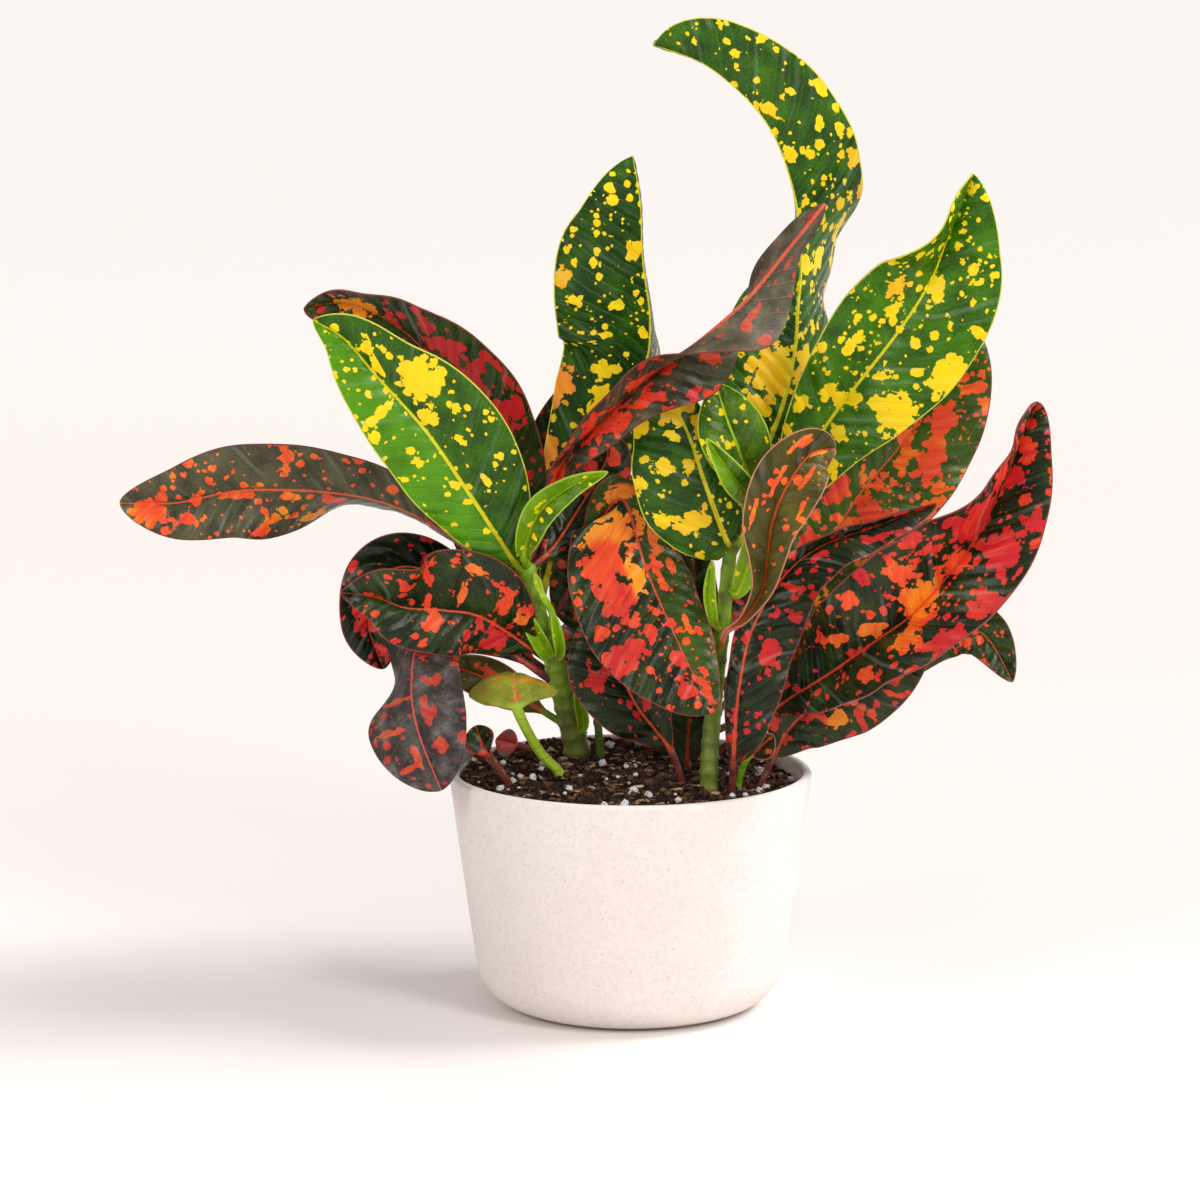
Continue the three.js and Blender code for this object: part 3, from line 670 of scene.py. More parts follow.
# %% [markdown]
# A croton's stem is a smooth green rod with a ring at each leaf joint and, where an old leaf fell, a
# corky half-moon scar. A curve with a round bevel could not swell at the joints, so the stem is a net
# of points rolled round the route: one side of the net meets the other and is merged to it.

# %% Stems
STEM_SIDES = 28
STEM_ROWS = 110
TOP_SHARPNESS = 30
JOINT_SWELL = 0.12
JOINT_SHARPNESS = 8
GOLDEN_ANGLE = math.radians(137.5)
SCAR_WIDTH = 0.5
SCAR_SWELL = 0.1
SEAM = 0.001 * MM
FRONT = np.array([0.0, -1.0, 0.0])
SKY = np.array([0.0, -0.45, 0.9]) / math.hypot(0.45, 0.9)


def close_rod():
    """Merges the two sides of the rolled net, and closes both ends with a face."""
    edit_all()
    bpy.ops.mesh.remove_doubles(threshold=SEAM)
    bpy.ops.mesh.select_all(action="DESELECT")
    bpy.ops.mesh.select_non_manifold()
    bpy.ops.mesh.edge_face_add()
    bpy.ops.mesh.select_all(action="SELECT")
    bpy.ops.mesh.normals_make_consistent(inside=False)
    bpy.ops.object.mode_set(mode="OBJECT")


def stem(name, plan):
    """A closed rod with rings and scars. The next scar is always a golden angle further round."""
    piece = grid(STEM_SIDES + 1, STEM_ROWS)
    t = np.linspace(0, 1, STEM_ROWS)
    centre = along(plan["route"], t)
    tangent = tangents(plan["route"], t)
    across = unit(np.cross(tangent, FRONT))
    forward = np.cross(across, tangent)
    angle = np.linspace(0, 2 * math.pi, STEM_SIDES + 1)
    radius = plan["thick"] + (plan["thin"] - plan["thick"]) * t
    joint = np.cos(2 * math.pi * plan["joint_pairs"] * t) ** JOINT_SHARPNESS
    radius = radius * (1 + JOINT_SWELL * joint)
    radius *= np.clip((1.002 - t) * TOP_SHARPNESS, 0, 1) ** 0.5
    number = np.round(2 * plan["joint_pairs"] * t)
    turned = angle[None] - number[:, None] * GOLDEN_ANGLE
    scar_side = np.abs((turned + math.pi) % (2 * math.pi) - math.pi)
    scar = joint[:, None] * np.exp(-((scar_side / SCAR_WIDTH) ** 4))
    reach = (radius[:, None] * (1 + SCAR_SWELL * scar))[..., None]
    round_about = np.cos(angle)[:, None] * across[:, None] + np.sin(angle)[:, None] * forward[:, None]
    write_points(piece, (centre[:, None] + reach * round_about) * MM)
    height = np.repeat(travelled(centre), STEM_SIDES + 1)
    attribute(piece, "stem", np.column_stack([height, np.repeat(joint, STEM_SIDES + 1), scar.ravel()]))
    close_rod()
    shade_smooth(crease=60)
    print(name, round(travelled(centre)[-1]), "mm long,", len(piece.data.polygons), "faces")
    return stands_for(piece, name + "_bark", name)


stems = {name: stem(name, plan) for name, plan in STEMS.items()}

# %% [markdown]
# Young croton bark is green and a little waxy, olive toward the soil, with pale rings at the joints
# and corky scars. The stem's own numbers steer the colours: how far up a point is in millimetres,
# how near to a joint, and how deep in a scar.

# %% Stem finish
OLIVE = colour(112, 126, 36)
FRESH_GREEN = colour(138, 182, 26)
DEEP_GREEN = colour(74, 96, 22)
PALE_STREAK = colour(176, 192, 80)
RING_STRAW = colour(150, 150, 84)
SCAR_BROWN = colour(116, 98, 62)

bark_green = Finish("stem_green")
height, ring, scar = bark_green.parts(bark_green.attribute("stem"))
place = bark_green.object_place()
streaks = bark_green.noise(bark_green.scaled(place, (900.0, 900.0, 160.0)), 1.0, 3)
blotches = bark_green.noise(place, 160, 3)
skin = bark_green.coated(
    OLIVE,
    (height.rise(20, 100), FRESH_GREEN),
    (blotches.rise(0.42, 0.66) * 0.65, DEEP_GREEN),
    (streaks.rise(0.55, 0.75) * 0.3, PALE_STREAK),
    (ring.rise(0.8, 1.0) * 0.4, RING_STRAW),
    (scar.rise(0.25, 0.6) * 0.85, SCAR_BROWN))
grain = bark_green.bump(streaks + blotches, 0.4 * MM, 0.6)
stem_finish = bark_green.done(base_color=skin, roughness=blotches * 0.2 + 0.36, normal=grain)
for piece in stems.values():
    piece.data.materials.append(stem_finish)

# %% [markdown]
# Each leaf is a plan: which stem it grows from and how far up, or where it stands in the soil; the
# greatest widths of its two half blades; where it is widest and how full its outline is; its kind; and
# the places of its midrib. A place also says how far each half blade leans, 0 toward what the leaf faces,
# 90 flat and 180 away from it. That is enough for a leaf to fold, roll and twist. Where a leaf leans
# the same all along, it says so once.

# %% What a leaf's plan holds


class Leaf:
    """A leaf's plan. `left` and `right` are half widths, and `lean` is for rows that give none."""

    def __init__(self, grows_from, at, left, right, widest, full, kind, rows,
                 lean=(80, 80), stalk=14, stalk_half=1.4, facing=FRONT, solid=True):
        self.grows_from, self.at = grows_from, at
        self.left, self.right = left, right
        self.widest, self.full = widest, full
        self.kind, self.facing, self.solid = kind, facing, solid
        self.stalk, self.stalk_half = stalk, stalk_half
        self.rows = [row if len(row) > 3 else (*row, *lean) for row in rows]


print("a row without a lean:", Leaf("soil", (0, 0), 5, 5, 0.5, 0.6, "young", [(1, 2, 3)]).rows)

# %% [markdown]
# The tallest leaves. The crown leaf climbs, folds along its midrib and hooks over to the left, and the
# twisted leaf leans across it and turns its grey back at the tip.

# %% The tall leaves at the top
tall_leaves = {
    "crown": Leaf("right_stem", 0.93, 35, 31, 0.56, 0.42, "green", stalk=10, rows=[
        (51, 20, 213, 80, 90), (61, 26, 238, 85, 120), (66, 28, 260, 95, 145), (67, 28, 276, 135, 155),
        (68, 28, 298, 170, 150), (64, 26, 325, 200, 105), (53, 22, 351, 205, 90),
        (31, 16, 372, 200, 85), (9, 10, 381, 190, 80)]),
    "upper_left": Leaf("left_stem", 0.93, 38, 32, 0.64, 0.55, "green", rows=[
        (-33, 14, 182, 80, 90), (-22, 22, 206, 80, 105), (-6, 26, 232, 85, 140), (6, 24, 254, 85, 170),
        (8, 22, 273, 85, 185), (5, 18, 297, 85, 190), (4, 14, 319, 80, 190), (1, 10, 338, 80, 190)]),
    "twisted": Leaf("left_stem", 1, 20, 20, 0.6, 0.6, "red", stalk=24, rows=[
        (-34, 1, 193, 50, 50), (-27, -15, 219, 25, 40), (-11, -23, 238, 25, 40), (7, -26, 255, 25, 50),
        (27, -26, 269, -10, 110), (44, -24, 284, -90, 170), (60, -20, 303, -145, 205),
        (75, -14, 321, -140, 210)]),
    "upper_right": Leaf("right_stem", 0.88, 27, 31, 0.6, 0.65, "green", rows=[
        (58, 8, 199, 80, 80), (77, 8, 231, 75, 70), (89, 5, 248, 75, 70), (105, 0, 270, 75, 85),
        (117, -4, 290, 60, 80), (124, -6, 309, 20, 75), (133, -6, 332, 20, 75)]),
    "behind_left": Leaf("left_stem", 0.84, 15, 20, 0.5, 0.7, "red", rows=[
        (-38, 18, 178, 80, 80), (-32, 30, 202, 80, 85), (-26, 36, 223, 80, 85), (-16, 39, 243, 80, 80),
        (-8, 39, 263, 80, 80)]),
    "red_loop": Leaf("left_stem", 0.95, 13, 14, 0.6, 0.5, "red", stalk=6, rows=[
        (-31, 7, 183, 90, 95), (-23, 14, 194, 95, 90), (-14, 13, 209, 95, 80), (-9, 5, 221, 100, 70),
        (-12, 1, 228, 100, 80)]),
}
print("the tall leaves at the top:", len(tall_leaves))

# %% [markdown]
# Leaves that reach out to the left. The far one folds its lower half away near the stem, and the
# hanging one shows nothing but its back.

# %% Leaves on the left
left_leaves = {
    "left_front": Leaf("left_stem", 0.88, 21, 29, 0.48, 0.7, "green", rows=[
        (-51, -10, 188, 85, 80), (-65, -18, 211, 85, 80), (-80, -24, 234, 85, 75),
        (-98, -28, 255, 80, 65), (-111, -28, 270, 80, 60), (-123, -27, 277, 80, 60)]),
    "left_red": Leaf("left_stem", 0.8, 24, 27, 0.45, 0.5, "red", rows=[
        (-50, 12, 176, 90, 80), (-56, 19, 207, 90, 75), (-66, 22, 237, 95, 65), (-79, 24, 256, 95, 50),
        (-92, 26, 269, 95, 35), (-112, 26, 279, 95, 25), (-130, 23, 277, 100, 30)]),
    "far_left": Leaf("left_stem", 0.76, 20, 20, 0.66, 0.6, "red", rows=[
        (-52, 2, 166, 160, 80), (-66, 4, 184, 165, 80), (-92, 6, 199, 168, 75), (-119, 8, 205, 150, 75),
        (-154, 8, 206, 70, 75), (-181, 8, 201, 75, 75), (-203, 8, 201, 75, 75)]),
    "curled_left": Leaf("left_stem", 0.56, 18, 26, 0.5, 0.7, "red", rows=[
        (-57, -10, 157, 80, 85), (-73, -18, 162, 80, 80), (-88, -24, 164, 75, 70),
        (-100, -28, 169, 60, 60), (-113, -30, 171, 60, 60)]),
    "round_left": Leaf("left_stem", 0.62, 18, 15, 0.62, 0.6, "red", rows=[
        (-56, 10, 159, 80, 80), (-84, 6, 175, 70, 80), (-99, 2, 172, 60, 70), (-104, -2, 154, 80, 60),
        (-98, -3, 136, 80, 60)]),
    "hanging_left": Leaf("left_stem", 0.46, 21, 20, 0.72, 0.55, "red", rows=[
        (-50, 2, 143, 80, 100), (-68, -3, 151, 80, 120), (-83, -16, 149, 80, 150),
        (-86, -28, 134, 80, 150), (-83, -36, 117, 85, 85), (-74, -42, 95, 85, 85)]),
    "low_left": Leaf("left_stem", 0.3, 9, 9, 0.5, 0.7, "green", rows=[
        (-46, 12, 123), (-60, 9, 131), (-79, 4, 138)]),
}
print("leaves on the left:", len(left_leaves))

# %% [markdown]
# The middle of the plant: the big orange leaf that hangs in front, the broad spotted one beside it,
# the rolled one to its right, and the young bright ones at the growing tips.

# %% Leaves in the middle
middle_leaves = {
    "inner_low": Leaf("soil", (8, 26), 19, 19, 0.55, 0.6, "red", lean=(85, 85), rows=[
        (8, 28, 106), (7, 31, 122), (5, 33, 140), (4, 33, 160)]),
    "inner_right": Leaf("soil", (23, 8), 16, 11, 0.5, 0.5, "red", stalk=4, lean=(85, 85), rows=[
        (23, 11, 98), (24, 14, 118), (25, 16, 142), (26, 15, 166), (25, 12, 188)]),
    "inner_left": Leaf("side_shoot", 0.9, 14, 12, 0.5, 0.55, "green", stalk=7, lean=(85, 85), rows=[
        (-14, 15, 148), (-17, 17, 158), (-20, 17, 170), (-23, 16, 182)]),
    "front": Leaf("left_stem", 0.7, 16, 33, 0.58, 0.6, "red", stalk=34, rows=[
        (-24, 8, 166, 80, 80), (-14, 8, 190, 90, 90), (-3, 3, 203, 100, 95), (6, -6, 177, 110, 90),
        (17, -20, 153, 110, 85), (27, -31, 134, 105, 80), (33, -35, 125, 95, 80)]),
    "centre": Leaf("right_stem", 0.82, 28, 12, 0.36, 0.6, "green", stalk=5, rows=[
        (38, -11, 188, 90, 100), (33, -16, 201, 100, 110), (28, -18, 215, 100, 110),
        (23, -18, 230, 100, 105), (16, -15, 245, 95, 95), (9, -11, 260, 85, 85)]),
    "spiral": Leaf("right_stem", 0.55, 15, 14, 0.72, 0.8, "green", stalk=8, rows=[
        (37, -19, 153, 60, 50), (44, -27, 160, 55, 45), (51, -31, 172, 50, 45), (53, -33, 186, 55, 50),
        (55, -33, 200, 70, 60), (61, -31, 214, 75, 70), (70, -26, 225, 70, 70), (80, -17, 226, 60, 60)]),
    "under_front": Leaf("soil", (20, -14), 20, 20, 0.6, 0.65, "red", lean=(85, 85), rows=[
        (16, -14, 105), (9, -12, 114), (2, -10, 123), (-7, -3, 140), (-16, 4, 157)]),
    "young_left": Leaf("left_stem", 0.96, 8, 7, 0.45, 0.7, "young", lean=(50, 60), rows=[
        (-42, -12, 184), (-36, -22, 201), (-24, -27, 212), (-9, -28, 218)]),
    "young_top": Leaf("right_stem", 1, 14, 14, 0.5, 0.7, "young", rows=[
        (46, -12, 213, 60, 70), (42, -24, 226, 70, 75), (37, -25, 239, 75, 75), (33, -22, 252, 75, 75)]),
    "young_folded": Leaf("right_stem", 0.95, 7, 6, 0.5, 0.7, "young", stalk=10, lean=(50, 60), rows=[
        (47, -15, 205), (38, -33, 219), (29, -36, 232)]),
    "young_tip": Leaf("right_stem", 0.94, 6, 6, 0.5, 0.7, "young", stalk=6, lean=(60, 60), rows=[
        (50, -5, 210), (52, -10, 227)]),
}
print("leaves in the middle:", len(middle_leaves))

# %% [markdown]
# Leaves on the right. The long red one rolls its lower margin forward and folds over at its tip.

# %% Leaves on the right
right_leaves = {
    "arched_red": Leaf("soil", (40, -22), 6, 19, 0.38, 0.6, "red", rows=[
        (41, -23, 114, 95, 90), (43, -22, 135, 100, 90), (48, -17, 155, 105, 80),
        (60, -11, 174, 80, 50), (75, -3, 185, 60, 40), (97, 5, 192, 60, 40), (122, 12, 200, 60, 50)]),
    "right_back": Leaf("right_stem", 0.45, 26, 29, 0.6, 0.55, "green", rows=[
        (52, 6, 146, 85, 85), (63, 12, 159, 85, 80), (79, 20, 182, 85, 80), (93, 26, 203, 85, 80),
        (108, 31, 220, 85, 80), (124, 33, 243, 85, 80), (137, 33, 269, 85, 80)]),
    "right_red": Leaf("right_stem", 0.25, 31, 27, 0.55, 0.6, "red", stalk=30, rows=[
        (48, -7, 113, 115, 40), (62, -9, 124, 115, 35), (78, -25, 138, 108, 30), (94, -40, 153, 80, 30),
        (110, -48, 167, 75, 35), (129, -52, 191, 50, 55), (139, -50, 209, 20, 60),
        (148, -42, 230, 15, 60), (157, -36, 246, 40, 60)]),
    "right_low": Leaf("soil", (52, -8), 16, 20, 0.5, 0.65, "red", rows=[
        (60, -3, 106, 80, 85), (67, 0, 115, 85, 90), (80, 0, 125, 90, 90), (99, -5, 136, 90, 85),
        (118, -12, 147, 80, 80)]),
    "right_hidden": Leaf("right_stem", 0.33, 14, 14, 0.6, 0.65, "red", rows=[
        (68, 10, 125, 85, 85), (100, 16, 138, 85, 85), (126, 16, 150, 85, 85), (142, 12, 147, 85, 80),
        (153, 6, 129, 80, 80)]),
}
print("leaves on the right:", len(right_leaves))

# %% [markdown]
# Small leaves that stand in the soil on their own stalks.

# %% Leaves near the soil
low_leaves = {
    "umbrella": Leaf("soil", (-28, -15), 19, 19, 0.42, 0.5, "young",
        facing=SKY, stalk=36, stalk_half=2.2, rows=[
        (-36, -17, 105, 90, 90), (-44, -21, 121, 95, 95), (-46, -16, 131, 105, 105),
        (-46, -8, 135, 110, 110), (-45, -1, 134, 110, 110)]),
    "brown_low": Leaf("soil", (-48, -24), 6, 6, 0.6, 0.7, "red", stalk=15, stalk_half=1.8, rows=[
        (-53, -24, 101), (-58, -22, 108), (-61, -18, 116)]),
    "rim_left": Leaf("soil", (-52, 4), 7, 7, 0.5, 0.7, "red", rows=[
        (-58, 2, 98), (-64, 0, 102), (-71, -2, 105)]),
    "pink_low": Leaf("soil", (-34, 12), 6, 6, 0.5, 0.7, "red", rows=[
        (-44, 10, 102), (-54, 8, 105)]),
    "streaked_low": Leaf("soil", (43, -6), 6, 6, 0.5, 0.7, "green", rows=[
        (46, -8, 100), (51, -8, 105), (57, -8, 110)]),
}
print("leaves near the soil:", len(low_leaves))

# %% [markdown]
# Nobody sees the back in the picture, but a croton has leaves all round. These arch away from the
# stems with their upper sides to the sky.

# %% Leaves at the back


def back_leaf(stem_name, at, half, kind, places, widest=0.55):
    """A leaf that arches to the back. It is flat at its foot, and its margins droop a little."""
    first, *others = places
    rows = [(*first, 90, 90), *[(*place, 95, 95) for place in others]]
    return Leaf(stem_name, at, half, half, widest, 0.65, kind, rows, facing=SKY)


back_leaves = {
    "back_left_top": back_leaf("left_stem", 0.74, 20, "green", [
        (-50, 20, 168), (-57, 44, 204), (-69, 68, 230), (-84, 86, 238), (-98, 100, 232)]),
    "back_left": back_leaf("left_stem", 0.64, 22, "red", [
        (-46, 24, 154), (-54, 52, 188), (-66, 82, 210), (-78, 106, 210)]),
    "back_left_low": back_leaf("left_stem", 0.5, 16, "red", [
        (-49, 26, 142), (-66, 50, 157), (-84, 74, 162), (-98, 92, 156)]),
    "back_centre_left": back_leaf("left_stem", 0.76, 20, "green", [
        (-33, 24, 170), (-24, 54, 204), (-10, 84, 232), (2, 108, 244), (9, 126, 240)], widest=0.6),
    "back_low": back_leaf("left_stem", 0.28, 16, "red", [
        (-18, 36, 128), (-12, 62, 142), (-4, 86, 144), (2, 102, 134)]),
    "back_centre": back_leaf("right_stem", 0.8, 22, "red", [
        (32, 24, 200), (29, 60, 219), (25, 92, 226), (19, 118, 218)]),
    "back_right_top": back_leaf("right_stem", 0.77, 24, "green", [
        (56, 36, 199), (84, 66, 228), (105, 94, 240), (121, 118, 232)]),
    "back_right": back_leaf("right_stem", 0.6, 22, "red", [
        (56, 32, 164), (90, 58, 178), (120, 84, 180), (140, 106, 168)]),
    "back_right_low": back_leaf("right_stem", 0.38, 16, "red", [
        (52, 28, 130), (78, 54, 146), (100, 78, 147), (116, 96, 136)]),
}
print("leaves at the back:", len(back_leaves))

# %% [markdown]
# Some shoots are too small to stand as solids: the buds and narrow bracts on the stems, and a few
# bare stalks between them. They are planned like leaves, and replace nothing. A bare stalk, with its
# part in the soil, has to be shorter than its midrib. In `stalk_right` and `stalk_behind` it is
# longer, so these two come out as empty meshes that don't show. That is a known fault.

# %% Buds and bracts


def sprig(grows_from, at, half, stalk, lean, places, widest=0.5, full=0.6):
    """A bud, a bract or a bare stalk. Both its halves lean the same, and it replaces no solid."""
    return Leaf(grows_from, at, half, half, widest, full, "young", places,
                lean=(lean, lean), stalk=stalk, solid=False)


tips = {
    "bud_left": sprig("left_stem", 0.98, 3, 3, 70, [
        (-42, -5, 184), (-40, -9, 194)], widest=0.4, full=0.7),
    "bract_left": sprig("left_stem", 0.52, 4, 3, 60, [(-35, 3, 144), (-40, -1, 154), (-44, -2, 164)]),
    "bract_front": sprig("left_stem", 0.56, 3, 3, 50, [(-28, 3, 142), (-29, -1, 150), (-31, -1, 159)]),
    "bract_low": sprig("left_stem", 0.28, 3, 3, 60, [(-19, 6, 111), (-20, 4, 120), (-22, 4, 129)]),
    "stalk_left": sprig("left_stem", 0.66, 1.6, 24, 70, [
        (-31, 0, 157), (-35, -4, 166), (-38, -6, 175)]),
    "bract_right": sprig("right_stem", 0.72, 5, 3, 70, [
        (42, -10, 168), (46, -13, 179), (49, -13, 193), (48, -12, 203)], widest=0.45),
    "bract_middle": sprig("right_stem", 0.62, 3, 3, 60, [
        (33, -12, 156), (31, -14, 168), (32, -14, 181)]),
    "stalk_right": sprig("soil", (36, -10), 1.4, 70, 70, [
        (36, -11, 112), (39, -14, 130), (38, -16, 152)]),
    "stalk_behind": sprig("soil", (-13, 22), 1.6, 60, 70, [
        (-15, 22, 104), (-21, 20, 126), (-25, 18, 146)]),
    "bud_right": sprig("right_stem", 0.99, 2.5, 2, 70, [
        (42, -8, 210), (41, -10, 219)], widest=0.4, full=0.7),
}
leaves = {**tall_leaves, **left_leaves, **middle_leaves, **right_leaves, **low_leaves, **back_leaves, **tips}
print("leaves in all:", len(leaves))

# %% [markdown]
# Every leaf is marked in its own way. Warmth turns its patches from yellow to orange, or from red to
# orange on the dark leaves. Density says how many spots it has, as one number or as two, near the
# foot and near the tip. Shade says how light its ground is, in both halves or in the left and right.
# On left_front the lighter left half and darker right half are painted light and shade.
# Large patches are listed where the leaf shows them: share across, share along, half width
# and half length in millimetres, and the patch's own warmth where it differs. Their ragged edges come
# from noise in the finish. Four leaves show their other side, and a few borrow another look.

# %% Marks on each leaf


class Marks:
    """How one leaf is marked."""

    def __init__(self, warmth=0.0, density=0.5, shade=0.5, patches=(), turned=False, look=None):
        self.warmth = warmth
        self.density = density if isinstance(density, tuple) else (density, density)
        self.shade = shade if isinstance(shade, tuple) else (shade, shade)
        self.patches = patches
        self.turned = turned
        self.look = look


